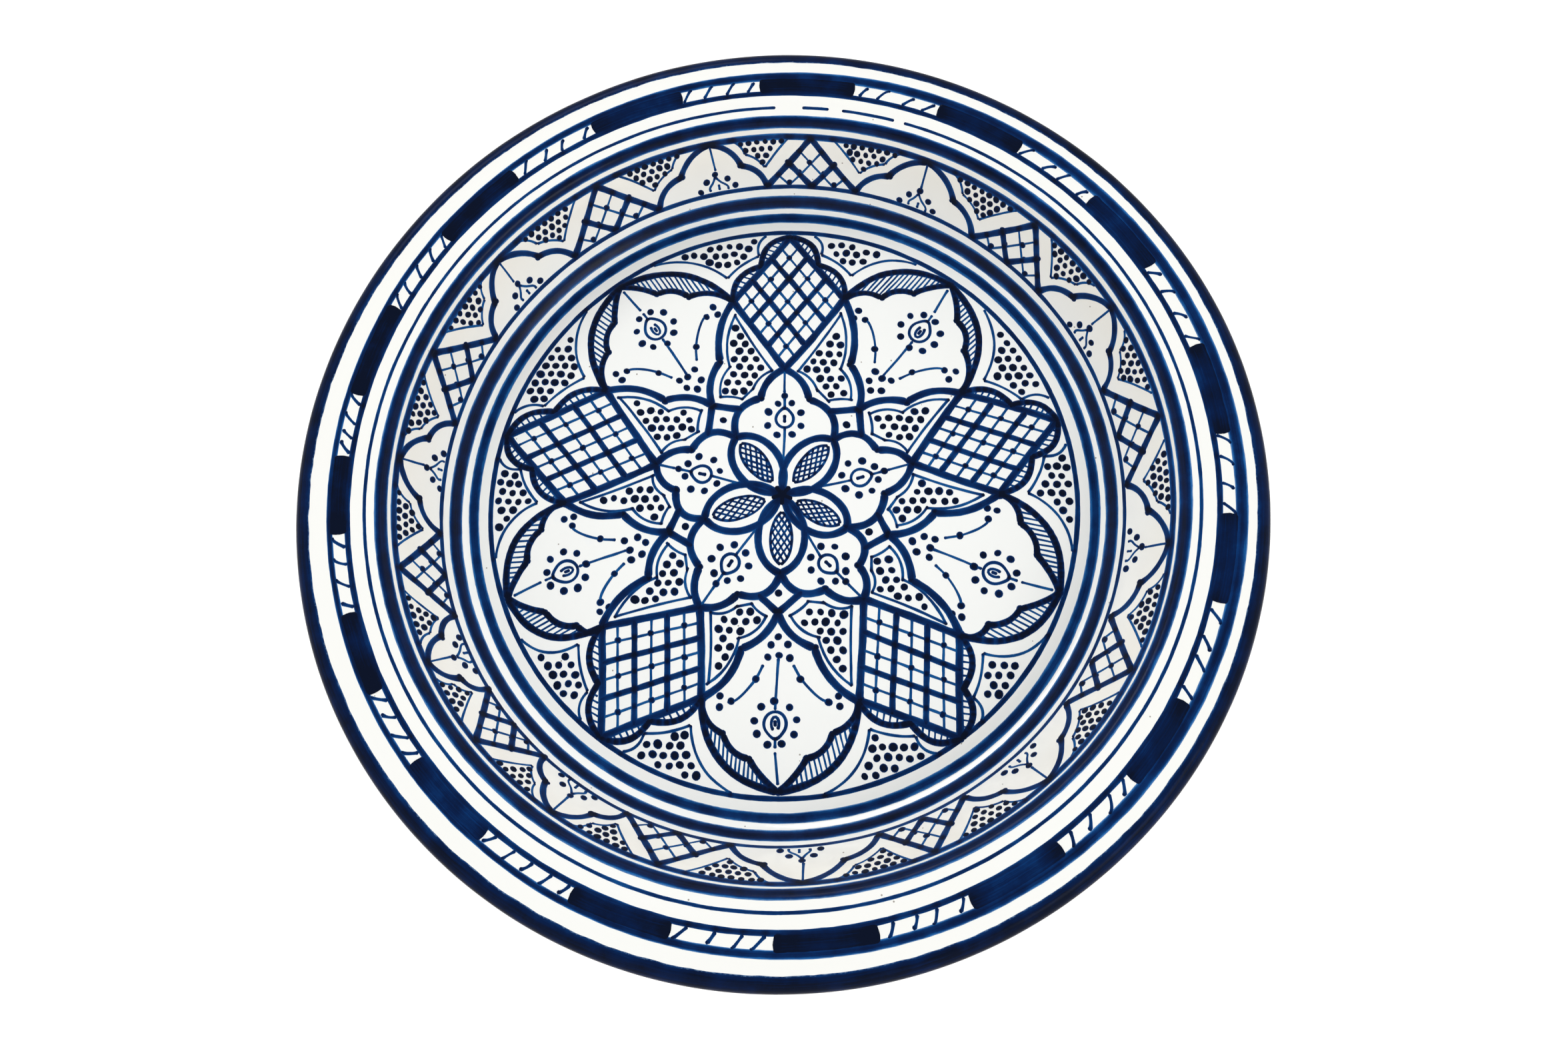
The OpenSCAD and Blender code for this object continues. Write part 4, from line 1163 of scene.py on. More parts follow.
@dataclass
class Medallion:
    """The star of petals and lozenges that fills the well."""
    radius: float = 138.4
    broad: float = 3.6
    middle: float = 2.9
    fine: float = 1.25
    dot_r: float = 1.85
    small_dot_r: float = 1.6
    hub: Point = 0.5 + 1.5j
    lozenges: tuple[tuple[Point, ...], ...] = (
        (1 + 65j, -25 + 101j, 3 + 136j, 30 + 102j), (-60 + 16.5j, -103 - 2.5j, -133 + 31j, -86 + 54j),
        (-37 - 52.5j, -35 - 94j, -80 - 112j, -82 - 62j), (38.5 - 48.5j, 82 - 65j, 81 - 111j, 36 - 95j),
        (62 + 17j, 86 + 52j, 131 + 38j, 102.5 + 2j))
    petals: tuple[tuple[Point, Point], ...] = (
        (-34 + 46j, -82 + 109j), (-53 - 17j, -127 - 49j), (-1 - 55j, -135j), (50.5 - 18j, 128 - 45j),
        (37 + 44j, 83 + 109j))
    leaves: tuple[Point, ...] = (-22 + 30j, -36 - 10.5j, -36.5j, 31 - 14.5j, 24.5 + 28.5j)
    rng: random.Random = field(default_factory=lambda: random.Random(11))

    def near(self, p: Point, reach: float = 0.4) -> Point:
        """The point, missed a little by the hand."""
        return p + complex(self.rng.uniform(-reach, reach), self.rng.uniform(-reach, reach))

    def layers(self) -> list[Layer]:
        """All painted layers of the medallion, in the order of painting.

        Returns:
            The layers.
        """
        return [self.leaf_hatching(), self.leaf_outlines(), self.lobe_flowers(), self.lobe_outlines(),
                self.lozenge_liners(), self.lozenge_hatching(), self.lozenge_bars(), self.lozenge_scallops(),
                self.lozenge_frames(), self.petal_hatching(), self.petal_sprigs(), self.petal_flowers(),
                self.petal_crescents(), self.petal_outlines(), self.cell_outlines(), self.cell_dots(),
                self.star_hub()]

    def fine_layer(self, name: str, paint: Paint = Paint.LIGHT) -> Layer:
        """A layer of the liner brush."""
        return Layer(name, paint, relief=0.06, across=5, wobble=0.22, uneven=0.22, blob=0.3, ragged=0.04)

    def broad_layer(self, name: str) -> Layer:
        """A layer of the full brush."""
        return Layer(name, Paint.COBALT, relief=0.11, across=7, wobble=0.22, uneven=0.11, blob=0.12,
                     ragged=0.07)

    def blob(self, layer: Layer, at: Point, radius: float = 1.75) -> None:
        """A pool of colour where strokes meet."""
        layer.dot(self.near(at, 0.35), radius * self.rng.uniform(0.88, 1.15), 1.0)

    # -- star and leaves --
    def star_hub(self) -> Layer:
        """The dark heart of the star.

        Returns:
            The layer.
        """
        layer = self.broad_layer("star_hub")
        layer.paint = Paint.DARK
        layer.dot(self.hub, 3.3, 0.95)
        for tip in self.leaves:
            layer.stroke([self.hub, self.hub + unit(tip - self.hub) * 5.2], 2.6, 0.85)
        return layer

    def leaf_side(self, tip: Point, side: int, swell: float, start: float) -> Path:
        """One side of a leaf, bowed to the left or the right of its axis.

        Args:
            tip: Tip of the leaf.
            side: 1 for the left, -1 for the right.
            swell: Bow, as a share of the length.
            start: Share of the length where it begins.

        Returns:
            The points of the stroke.
        """
        axis = tip - self.hub
        v = axis * 1j * side * swell
        return cubic(mix(self.hub, tip, start), mix(self.hub, tip, start + 0.2 * (1 - start)) + v,
                     mix(self.hub, tip, start + 0.86 * (1 - start)) + v, tip)

    def leaf_outlines(self) -> Layer:
        """Two bowed strokes to each leaf.

        Returns:
            The layer.
        """
        layer = self.broad_layer("leaf_outlines")
        for tip in self.leaves:
            for side in (-1, 1):
                layer.stroke(self.leaf_side(tip, side, 0.385, 0.04), self.broad, 0.62)
            self.blob(layer, tip, 2.0)
        return layer

    def leaf_hatching(self) -> Layer:
        """The cross hatched heart of each leaf.

        Returns:
            The layer.
        """
        layer = self.fine_layer("leaf_hatching")
        for tip in self.leaves:
            heart = [self.leaf_side(mix(self.hub, tip, 0.89), side, 0.2, 0.25) for side in (1, -1)]
            for path in heart:
                layer.stroke(path, self.fine * 1.1, 0.5)
            outline = heart[0] + heart[1][::-1]
            e = unit(tip - self.hub)
            for i in range(1, 6):
                at = mix(self.hub, tip, 0.2 + 0.118 * i)
                for side in (-1, 1):
                    way = e * 0.78 + e * 1j * 0.5 * side
                    cut = clipped(at - 11 * way, at + 11 * way, outline)
                    if cut:
                        layer.line(self.near(cut[0], 0.2), self.near(cut[1], 0.2), 1.05, 0.5)
        return layer

    # -- lobes --
    def leaf_right(self, k: int) -> Point:
        """The leaf to the right of a lobe."""
        return self.leaves[(k + 4) % 5]

    def lobe_mid(self, k: int) -> Point:
        """Middle of a lobe's base."""
        return mix(self.leaves[k], self.leaf_right(k), 0.5)

    def lobe_cusp(self, k: int, tip: Point) -> Point:
        """The cusp between a lobe's two scallops."""
        mid = self.lobe_mid(k)
        return mid + (self.lozenges[k][0] - mid) * 0.565 + (tip - mid) * 0.5

    def lobe_outlines(self) -> Layer:
        """Two scallops on each side of each lobe.

        Returns:
            The layer.
        """
        layer = self.broad_layer("lobe_outlines")
        for k in range(5):
            for tip, side in ((self.leaves[k], 1), (self.leaf_right(k), -1)):
                cusp = self.lobe_cusp(k, tip)
                layer.stroke(bow(tip, cusp, side * 5.6), self.broad, 0.62)
                layer.stroke(bow(cusp, self.lozenges[k][0], side * 2.6), self.broad, 0.64)
                self.blob(layer, cusp, 1.8)
        return layer

    def eye(self, layer: Layer, centre: Point, e: Point, radius: float, point: float, load: float) -> None:
        """A ring drawn with one turn of the brush, drawn out to a point along e.

        Args:
            layer: Layer that takes it.
            centre: Centre of the ring.
            e: Direction of its point, one millimetre long.
            radius: Radius of the ring.
            point: How far it is drawn out.
            load: Load of colour.
        """
        ring = []
        for i in range(29):
            a = 2 * math.pi * i / 28
            stretch = 1 + point * max(0.0, math.cos(a)) ** 6
            ring.append(centre + e * radius * complex(math.cos(a) * stretch, math.sin(a) * 0.96))
        ring[-1] += e * 0.8j
        layer.stroke(ring, self.fine * 1.2, load)

    def lobe_flowers(self) -> Layer:
        """An eye on a stem with a ring of dots in each lobe.

        Returns:
            The layer.
        """
        layer = self.fine_layer("lobe_flowers")
        for k in range(5):
            apex = self.lozenges[k][0]
            eye = mix(self.lobe_mid(k), apex, 0.28)
            e = unit(apex - eye)
            self.eye(layer, eye, e, 4.4, 0.28, 0.55)
            layer.line(apex, eye + e * 13.2, self.fine, 0.4)
            layer.line(eye + e * 10.6, eye + e * 5.4, self.fine, 0.4)
            layer.dot(eye + e * 11.8, self.dot_r * 0.95, 1.0)
            layer.line(eye + e * 2.2, eye - e * 2.0, 1.5, 0.8)
            layer.line(eye - e * 4.5, mix(eye, self.hub, 0.62), self.fine, 0.4)
            for i in range(8):
                turn = polar(1, 45 * i + 22.5)
                if abs(turn.imag) > 0.3 or turn.real > 0:
                    layer.dot(self.near(eye + 8.7 * e * turn), self.dot_r * self.rng.uniform(0.9, 1.08), 1.0)
        return layer

    # -- lozenges --
    def in_lozenge(self, k: int, a: float, b: float) -> Point:
        """A point inside a lozenge, from its inner corner towards its left and its right one."""
        q = self.lozenges[k]
        return mix(mix(q[0], q[1], a), mix(q[3], q[2], a), b)

    def lozenge_frames(self) -> Layer:
        """Four strokes to each lozenge.

        Returns:
            The layer.
        """
        layer = self.broad_layer("lozenge_frames")
        for q in self.lozenges:
            for i in range(4):
                a, b = q[i], q[(i + 1) % 4]
                layer.stroke(bow(a, b, self.rng.uniform(-0.7, 0.7)), self.broad, 0.66)
            for p in q:
                self.blob(layer, p, 2.0)
        return layer

    def lozenge_bars(self) -> Layer:
        """Two bars each way in each lozenge.

        Returns:
            The layer.
        """
        layer = self.broad_layer("lozenge_bars")
        for k in range(5):
            for t in (1 / 3, 2 / 3):
                layer.line(self.near(self.in_lozenge(k, t, 0), 0.5), self.near(self.in_lozenge(k, t, 1), 0.5),
                           self.middle, 0.6)
                layer.line(self.near(self.in_lozenge(k, 0, t), 0.5), self.near(self.in_lozenge(k, 1, t), 0.5),
                           self.middle, 0.6)
        return layer

    def lozenge_liners(self) -> Layer:
        """Fine lines between the bars, with a dot on each crossing.

        Returns:
            The layer.
        """
        layer = self.fine_layer("lozenge_liners")
        shares = (1 / 6, 1 / 2, 5 / 6)
        for k in range(5):
            for t in shares:
                layer.line(self.near(self.in_lozenge(k, t, 0.01)), self.near(self.in_lozenge(k, t, 0.99)),
                           self.fine, 0.34)
                layer.line(self.near(self.in_lozenge(k, 0.01, t)), self.near(self.in_lozenge(k, 0.99, t)),
                           self.fine, 0.34)
            for a in shares:
                for b in shares:
                    layer.dot(self.near(self.in_lozenge(k, a, b)), self.small_dot_r, 0.95)
        return layer

    def scallop_cusp(self, k: int, corner: int) -> Point:
        """The cusp between the two scallops of an outer side.

        Args:
            k: Number of the ray, counted from 0.
            corner: Number of the lozenge's side corner.

        Returns:
            The cusp.
        """
        q = self.lozenges[k]
        mid = mix(q[corner], q[2], 0.5)
        return mid + unit(mid - q[0]) * 1.5

    def scallops(self, k: int, corner: int) -> list[Path]:
        """The two scallops on an outer side of a lozenge.

        Args:
            k: Number of the ray, counted from 0.
            corner: Number of the lozenge's side corner.

        Returns:
            Two bowed strokes.
        """
        side = 1 if corner == 1 else -1
        cusp, q = self.scallop_cusp(k, corner), self.lozenges[k]
        return [bow(q[corner], cusp, side * 5.0), bow(cusp, q[2], side * 5.0)]

    def lozenge_scallops(self) -> Layer:
        """The scallops round the outer corner of each lozenge.

        Returns:
            The layer.
        """
        layer = self.broad_layer("lozenge_scallops")
        for k in range(5):
            for corner in (1, 3):
                for path in self.scallops(k, corner):
                    layer.stroke(path, self.broad * 0.88, 0.62)
                self.blob(layer, self.scallop_cusp(k, corner), 1.7)
        return layer

    def lozenge_hatching(self) -> Layer:
        """Short ticks that fill the scallops.

        Returns:
            The layer.
        """
        layer = self.fine_layer("lozenge_hatching")
        for k in range(5):
            q = self.lozenges[k]
            for corner in (1, 3):
                side = 1j if corner == 1 else -1j
                way = unit(q[2] - q[corner]) * side * polar(1, self.rng.uniform(-28, 28))
                for path in self.scallops(k, corner):
                    outline = path + [mix(path[-1], path[0], i / 6) for i in range(1, 6)]
                    for m in range(1, 8):
                        at = mix(path[0], path[-1], m / 8)
                        cut = clipped(at - way * 9, at + way * 9, outline)
                        if cut:
                            layer.line(self.near(cut[0], 0.25), self.near(cut[1], 0.25), 0.9, 0.45)
        return layer

    # -- petals --
    def in_petal(self, k: int, u: float, v: float) -> Point:
        """A point of a petal, u from its inner end towards its tip and v to the left."""
        p = self.petals[k]
        return p[0] + (p[1] - p[0]) * complex(u, v) / 80.5

    def petal_corner(self, k: int, side: int) -> Point:
        """Where a petal's side meets the lozenge beside it."""
        return self.lozenges[(k + 1) % 5][3] if side > 0 else self.lozenges[k][1]

    def edge_points(self, k: int, side: int) -> Path:
        """The cusps along a petal's outer edge."""
        return [self.petal_corner(k, side), self.in_petal(k, 55, side * 24.7),
                self.in_petal(k, 66, side * 13),
                self.petals[k][1]]

    def crescent(self, k: int, side: int) -> tuple[Path, list[Path]]:
        """The outer arc and the scalloped inner edge of a petal's crescent.

        Args:
            k: Number of the ray, counted from 0.
            side: 1 for the left, -1 for the right.

        Returns:
            The outer arc, and the scallops of the inner edge.
        """
        pts = self.edge_points(k, side)
        outer = bow(pts[0], pts[3], side * 11)
        return outer, [bow(pts[i], pts[i + 1], side * rise) for i, rise in enumerate((3.0, 2.4, 1.0))]

    def link_foot(self, k: int, side: int) -> Point:
        """The foot of the line from a petal's inner end to the lobe beside it.

        Args:
            k: Number of the ray, counted from 0.
            side: 1 for the left, -1 for the right.

        Returns:
            The end of the line.
        """
        beside = (k + 1) % 5 if side > 0 else k
        return (mix(self.leaves[k], self.lobe_cusp(beside, self.leaves[k]), 0.5)
                + unit(self.petals[k][0] - self.leaves[k]) * 5)

    def petal_outlines(self) -> Layer:
        """The scalloped body of each petal, and the lines that tie it to the star.

        Returns:
            The layer.
        """
        layer = self.broad_layer("petal_outlines")
        for k in range(5):
            for side in (-1, 1):
                cusp = self.in_petal(k, 16.5, side * 16.8)
                layer.stroke(bow(self.petal_corner(k, side), cusp, side * 3.4), self.broad, 0.63)
                layer.stroke(bow(cusp, self.petals[k][0], side * 2.8), self.broad, 0.63)
                layer.line(self.petals[k][0], self.link_foot(k, side), self.broad * 0.96, 0.62)
                self.blob(layer, cusp, 1.8)
                self.blob(layer, self.petal_corner(k, side), 2.3)
            self.blob(layer, self.petals[k][0], 1.9)
        return layer

    def petal_crescents(self) -> Layer:
        """The hatched crescent on each side of a petal's tip.

        Returns:
            The layer.
        """
        layer = self.broad_layer("petal_crescents")
        for k in range(5):
            for side in (-1, 1):
                outer, inner = self.crescent(k, side)
                layer.stroke(outer, self.broad * 0.92, 0.62)
                for path in inner:
                    layer.stroke(path, self.broad * 0.84, 0.6)
                for p in self.edge_points(k, side)[1:3]:
                    self.blob(layer, p, 1.7)
            self.blob(layer, self.petals[k][1], 2.0)
        return layer

    def petal_hatching(self) -> Layer:
        """The ticks inside the crescents.

        Returns:
            The layer.
        """
        layer = self.fine_layer("petal_hatching")
        for k in range(5):
            for side in (-1, 1):
                outer, inner = self.crescent(k, side)
                outline = outer + (inner[0] + inner[1][1:] + inner[2][1:])[::-1]
                chord = outer[-1] - outer[0]
                way = unit(chord) * polar(1, side * self.rng.uniform(42, 58))
                count = round(abs(chord) / 2.9)
                for i in range(1, count):
                    at = mix(outer[0], outer[-1], i / count)
                    cut = clipped(at - way * 12, at + way * 16, outline)
                    if cut:
                        layer.line(self.near(cut[0], 0.25), self.near(cut[1], 0.25), 0.95, 0.42)
        return layer

    def petal_flowers(self) -> Layer:
        """The eye on its stem, with a drop inside and a ring of dots, in each petal.

        Returns:
            The layer.
        """
        layer = self.fine_layer("petal_flowers")
        for k in range(5):
            e = unit(self.petals[k][1] - self.petals[k][0])
            eye = self.in_petal(k, 50.5, -1.2)
            self.eye(layer, eye, e, 5.3, 0.3, 0.6)
            turns = [polar(1, 35 + 300 * i / 20) for i in range(21)]
            layer.stroke([eye + e * complex(3.1 * w.real, 1.75 * w.imag) for w in turns], self.fine * 1.1,
                         0.6)
            layer.line(eye + e * 1.3, eye - e * 1.6, self.fine * 1.1, 0.65)
            layer.line(self.in_petal(k, 77.5, 0), eye + e * 12.5, self.fine, 0.4)
            layer.line(eye + e * 11.0, eye + e * 6.2, self.fine, 0.4)
            layer.line(eye - e * 6.0, self.in_petal(k, 21, 0.3), self.fine, 0.42)
            for u, v in ((19.8, 0.5), (15.1, 4.6), (11.2, 0.6), (14.5, -3.4), (20.8, -4.2), (20.6, 5.2)):
                layer.dot(self.near(self.in_petal(k, u, v)), self.dot_r, 1.0)
            for i in range(9):
                turn = polar(1, 40 * i + 180)
                layer.dot(self.near(eye + 9.7 * e * turn), self.dot_r * self.rng.uniform(0.92, 1.08), 1.0)
        return layer

    def petal_sprigs(self) -> Layer:
        """The dotted sprigs to both sides of a petal's inner end.

        Returns:
            The layer.
        """
        layer = self.fine_layer("petal_sprigs")
        stem = ((24.0, 0.19), (30.5, 0.29), (36.5, 0.43), (40.2, 0.56), (40.9, 0.66))
        for k in range(5):
            axis = unit(self.petals[k][1] - self.petals[k][0])
            for side in (-1, 1):
                span = self.petal_corner(k, side) - self.petals[k][0]
                reach = abs((span / axis).imag) * 80.5 / abs(self.petals[k][1] - self.petals[k][0])
                layer.stroke(smooth([self.in_petal(k, u, side * v * reach) for u, v in stem]), self.fine,
                             0.42)
                for u, v in ((30.5, 0.29), (40.7, 0.62), (43.0, 0.76), (38.2, 0.75)):
                    layer.dot(self.near(self.in_petal(k, u, side * v * reach)), self.dot_r * 0.96, 1.0)
        return layer

    # -- cells --
    def inner_cell(self, k: int, side: int) -> Path:
        """The outline between a lozenge, a petal and a lobe.

        Args:
            k: Number of the ray, counted from 0.
            side: 1 for the left, -1 for the right.

        Returns:
            The closed outline.
        """
        beside = (k + 1) % 5 if side > 0 else k
        gap = [self.petal_corner(k, side), self.in_petal(k, 16.5, side * 16.8), self.petals[k][0],
               self.link_foot(k, side), self.lobe_cusp(beside, self.leaves[k]), self.lozenges[beside][0]]
        centre = sum(gap) / 6
        keys = [mix(centre, p, share) for p, share in zip(gap, (0.8, 0.56, 0.72, 0.7, 0.6, 0.7))]
        rises = (2.6, 2.0, -0.6, 0.0, -1.6, -0.5)
        outline: Path = []
        for i, rise in enumerate(rises):
            outline += bow(keys[i], keys[(i + 1) % 6], side * rise, 7)[:-1]
        return outline

    def outer_cell(self, k: int, side: int) -> list[Path]:
        """The outline that hangs from the medallion's ring between a lozenge and a petal.

        Args:
            k: Number of the ray, counted from 0.
            side: 1 for the left, -1 for the right.

        Returns:
            Its three strokes.
        """
        beside = (k + 1) % 5 if side > 0 else k
        q, corner = self.lozenges[beside], self.petal_corner(k, side)
        cusp = self.scallop_cusp(beside, 3 if side > 0 else 1)
        tip, reach = self.petals[k][1], self.radius - 1.0
        start = polar(reach, math.degrees(cmath.phase(q[2])) - side * 5)
        low = cusp + unit(cusp - q[0]) * 6
        meet = corner + unit(corner) * 13
        end = polar(reach, math.degrees(cmath.phase(tip)) + side * 8.5)
        return [bow(start, low, side * 2.2), bow(low, meet, side * 1.2), bow(meet, end, side * 5)]

    def cell_outlines(self) -> Layer:
        """Thin outlines whose ends run past each other a little.

        Returns:
            The layer.
        """
        layer = self.fine_layer("cell_outlines")
        for k in range(5):
            for side in (-1, 1):
                cell = self.inner_cell(k, side)
                cell.append(cell[0])
                for i in range(6):
                    edge = cell[7 * i:7 * i + 8]
                    over = self.rng.uniform(0.5, 1.5)
                    layer.stroke([edge[0] - unit(edge[1] - edge[0]) * over] + edge[1:-1]
                                 + [edge[-1] + unit(edge[-1] - edge[-2]) * over * 0.6], self.fine * 1.05,
                                 0.42)
                for path in self.outer_cell(k, side):
                    layer.stroke(path, self.fine * 1.05, 0.42)
        return layer

    def cell_dots(self) -> Layer:
        """The dots that fill the cells, and the single ones by the star.

        Returns:
            The layer.
        """
        layer = Layer("cell_dots", Paint.DARK, relief=0.11, ragged=0.09)
        for k in range(5):
            for side in (-1, 1):
                paths = self.outer_cell(k, side)
                outer = paths[0] + paths[1][1:] + paths[2][1:]
                a, b = cmath.phase(outer[-1]), cmath.phase(outer[0])
                turn = (b - a + math.pi) % (2 * math.pi) - math.pi
                outer += [cmath.rect(self.radius - 1.0, a + turn * i / 8) for i in range(1, 8)]
                for outline in (self.inner_cell(k, side), outer):
                    for p in packed_dots(outline, 4.7, 2.9, self.rng):
                        layer.dot(p, self.dot_r * self.rng.uniform(0.9, 1.12), self.rng.uniform(0.85, 1.1))
            layer.dot(self.near(mix(self.leaves[k], self.petals[k][0], 0.52)), self.dot_r, 1.0)
        return layer


@dataclass
class Frieze:
    """Arches and tents that climb the wall."""
    foot_s: float = 163.2
    tip_s: float = 188.4
    per_degree: float = 2.9
    broad: float = 3.05
    fine: float = 1.2
    dot_r: float = 1.75
    tents: tuple[tuple[float, float, float], ...] = (
        (1, 9.5, 18), (39, 46, 54.5), (77, 85.5, 93), (113, 121.5, 130.5), (151, 159.5, 168),
        (187.5, 194, 202),
        (215.5, 222.5, 230), (246, 254, 263), (286, 292.5, 300.5), (322.5, 330.5, 338.5))
    tips: tuple[float, ...] = (28, 66, 102, 141.5, 177, 209, 237.5, 274, 311, 350)
    rng: random.Random = field(default_factory=lambda: random.Random(5))

    def at(self, angle: float, share: float) -> Point:
        """A point of the frieze at an angle and a share of its height."""
        return polar(self.foot_s + (self.tip_s - self.foot_s) * share, angle)

    def flat(self, path: Path) -> Path:
        """A path drawn on the flat frieze, laid round the plate."""
        return [polar(self.foot_s + p.imag, p.real / self.per_degree) for p in path]

    def on_flat(self, angle: float, share: float) -> Point:
        """A point of the flat frieze."""
        return complex(angle * self.per_degree, share * (self.tip_s - self.foot_s))

    def next_foot(self, i: int) -> float:
        """The left foot of the next tent."""
        return self.tents[i + 1][0] if i < 9 else self.tents[0][0] + 360

    def layers(self) -> list[Layer]:
        """All painted layers of the frieze."""
        return [self.tent_lattices(), self.tent_frames(), self.flowers(), self.spandrel_outlines(),
                self.spandrel_dots(), self.arches()]

    def layer(self, name: str, paint: Paint, fine: bool) -> Layer:
        """A layer of the frieze."""
        return Layer(name, paint, relief=0.06 if fine else 0.11, across=5 if fine else 7, wobble=0.2,
                     uneven=0.22 if fine else 0.14, blob=0.3 if fine else 0.2, ragged=0.05)

    def blob(self, layer: Layer, at: Point, radius: float = 1.5) -> None:
        """A pool of colour where strokes meet."""
        layer.dot(at, radius * self.rng.uniform(0.88, 1.15), 1.0)

    def arches(self) -> Layer:
        """Two scallops on each side of each arch.

        Returns:
            The layer.
        """
        layer = self.layer("wall_arches", Paint.COBALT, False)
        for i, tip in enumerate(self.tips):
            for foot in (self.tents[i][2], self.next_foot(i)):
                turn = 1 if foot < tip else -1
                cusp = mix(foot, tip, 0.5)
                low = bow(self.on_flat(foot, 0), self.on_flat(cusp, 0.49), turn * 2.8)
                high = bow(self.on_flat(cusp - turn * 0.35, 0.47), self.on_flat(tip, 1), turn * 2.3)
                layer.stroke(self.flat(low), self.broad, 0.62)
                layer.stroke(self.flat(high), self.broad, 0.62)
                self.blob(layer, self.at(cusp, 0.48), 1.5)
                self.blob(layer, self.at(foot, 0.0), 1.5)
            self.blob(layer, self.at(tip, 1.0), 1.7)
        return layer

    def tent_frames(self) -> Layer:
        """Two legs and two inner strokes to each tent.

        Returns:
            The layer.
        """
        layer = self.layer("wall_tents", Paint.COBALT, False)
        for left, tip, right in self.tents:
            foot = (left + right) / 2
            for leg in (left, right):
                layer.line(self.at(leg, 0.0), self.at(tip, 1.0), self.broad * 1.08, 0.64)
                layer.line(self.at(mix(leg, tip, 0.5), 0.5), self.at(foot, 0.0), self.broad, 0.62)
                self.blob(layer, self.at(mix(leg, tip, 0.5), 0.5), 1.5)
            self.blob(layer, self.at(tip, 0.99), 1.7)
            self.blob(layer, self.at(foot, 0.01), 1.4)
        return layer

    def tent_lattices(self) -> Layer:
        """The fine lattice and its dots inside each tent.

        Returns:
            The layer.
        """
        layer = self.layer("wall_tent_lattices", Paint.LIGHT, True)
        for left, tip, right in self.tents:
            foot = (left + right) / 2
            for leg, other in ((left, right), (right, left)):
                layer.line(self.at(mix(leg, tip, 0.75), 0.75), self.at(mix(other, foot, 0.5), 0.02),
                           self.fine, 0.36)
                layer.line(self.at(mix(leg, tip, 0.25), 0.25), self.at(mix(leg, foot, 0.5), 0.02), self.fine,
                           0.36)
                layer.dot(self.at(mix(leg, foot, 0.5), 0.07), self.dot_r, 1.0)
                layer.dot(self.at(mix(mix(leg, tip, 0.5), foot, 0.45), 0.29), self.dot_r * 0.9, 1.0)
            layer.dot(self.at(tip, 0.5), self.dot_r, 1.0)
        return layer

    def flowers(self) -> Layer:
        """A stem from each arch's tip and a sprig of dots at its foot.

        Returns:
            The layer.
        """
        layer = self.layer("wall_flowers", Paint.LIGHT, True)
        for tip in self.tips:
            sway = self.rng.uniform(-0.3, 0.3)
            layer.stroke([polar(self.tip_s - 0.8, tip), polar(174.6, tip + sway)], self.fine, 0.4)
            layer.stroke(smooth([polar(171.6, tip), polar(168.6, tip - 0.8), polar(166.0, tip - 1.9),
                                 polar(163.8, tip - 2.0)], 4), self.fine, 0.4)
            layer.stroke(smooth([polar(171.6, tip), polar(168.6, tip + 0.6), polar(166.2, tip + 1.3),
                                 polar(164.2, tip + 1.2)], 4), self.fine, 0.4)
            layer.line(polar(167.4, tip - 0.4), polar(164.2, tip - 0.4), self.fine, 0.4)
            for turn, s in ((-3.3, 165.5), (-2.0, 169.6), (0.0, 173.1), (1.7, 169.3), (2.9, 164.9)):
                layer.dot(polar(s + self.rng.uniform(-0.3, 0.3), tip + turn + self.rng.uniform(-0.1, 0.1)),
                          self.dot_r, 1.0)
        return layer

    def cells(self, i: int) -> list[tuple[int, list[tuple[float, float]]]]:
        """The narrow cells to the right and to the left of a tent, which hang from the frieze's top line.

        Args:
            i: Number of the tent.

        Returns:
            For each cell, its side and its corners as angle and share of the height.
        """
        left, tip, right = self.tents[i]
        before = self.tips[i - 1] - (360 if i == 0 else 0)
        both = []
        for foot, arch_tip in ((right, self.tips[i]), (left, before)):
            side = 1 if tip < foot else -1
            both.append((side, [(foot + side * 0.2, 0.4), (mix(foot, tip, 0.8) + side * 2.0, 1.0),
                                (mix(foot, arch_tip, 0.64) - side * 0.4, 1.0),
                                (mix(foot, arch_tip, 0.42) - side * 0.4, 0.7)]))
        return both

    def spandrel_outlines(self) -> Layer:
        """Thin outlines of the hanging cells.

        Returns:
            The layer.
        """
        layer = self.layer("wall_spandrel_outlines", Paint.LIGHT, True)
        for i in range(10):
            for side, cell in self.cells(i):
                low, near, far, knee = [self.on_flat(*p) for p in cell]
                layer.stroke(self.flat(bow(near, low, 0.3 * side)), self.fine, 0.36)
                layer.stroke(self.flat(bow(far, knee, -1.1 * side)), self.fine, 0.36)
                layer.stroke(self.flat(bow(knee, low, -1.1 * side)), self.fine, 0.36)
        return layer

    def spandrel_dots(self) -> Layer:
        """Rows of dots that narrow downwards in the hanging cells.

        Returns:
            The layer.
        """
        layer = Layer("wall_spandrel_dots", Paint.DARK, relief=0.11, ragged=0.09)
        for i in range(10):
            for side, cell in self.cells(i):
                outline = [self.on_flat(*p) for p in cell]
                outline = [outline[0]] + bow(outline[1], outline[2], 0.0, 2) + [outline[3]]
                for p in packed_dots(outline, 3.75, 1.55, self.rng):
                    layer.dot(self.flat([p])[0], 1.66 * self.rng.uniform(0.9, 1.1),
                              self.rng.uniform(0.85, 1.1))
        return layer


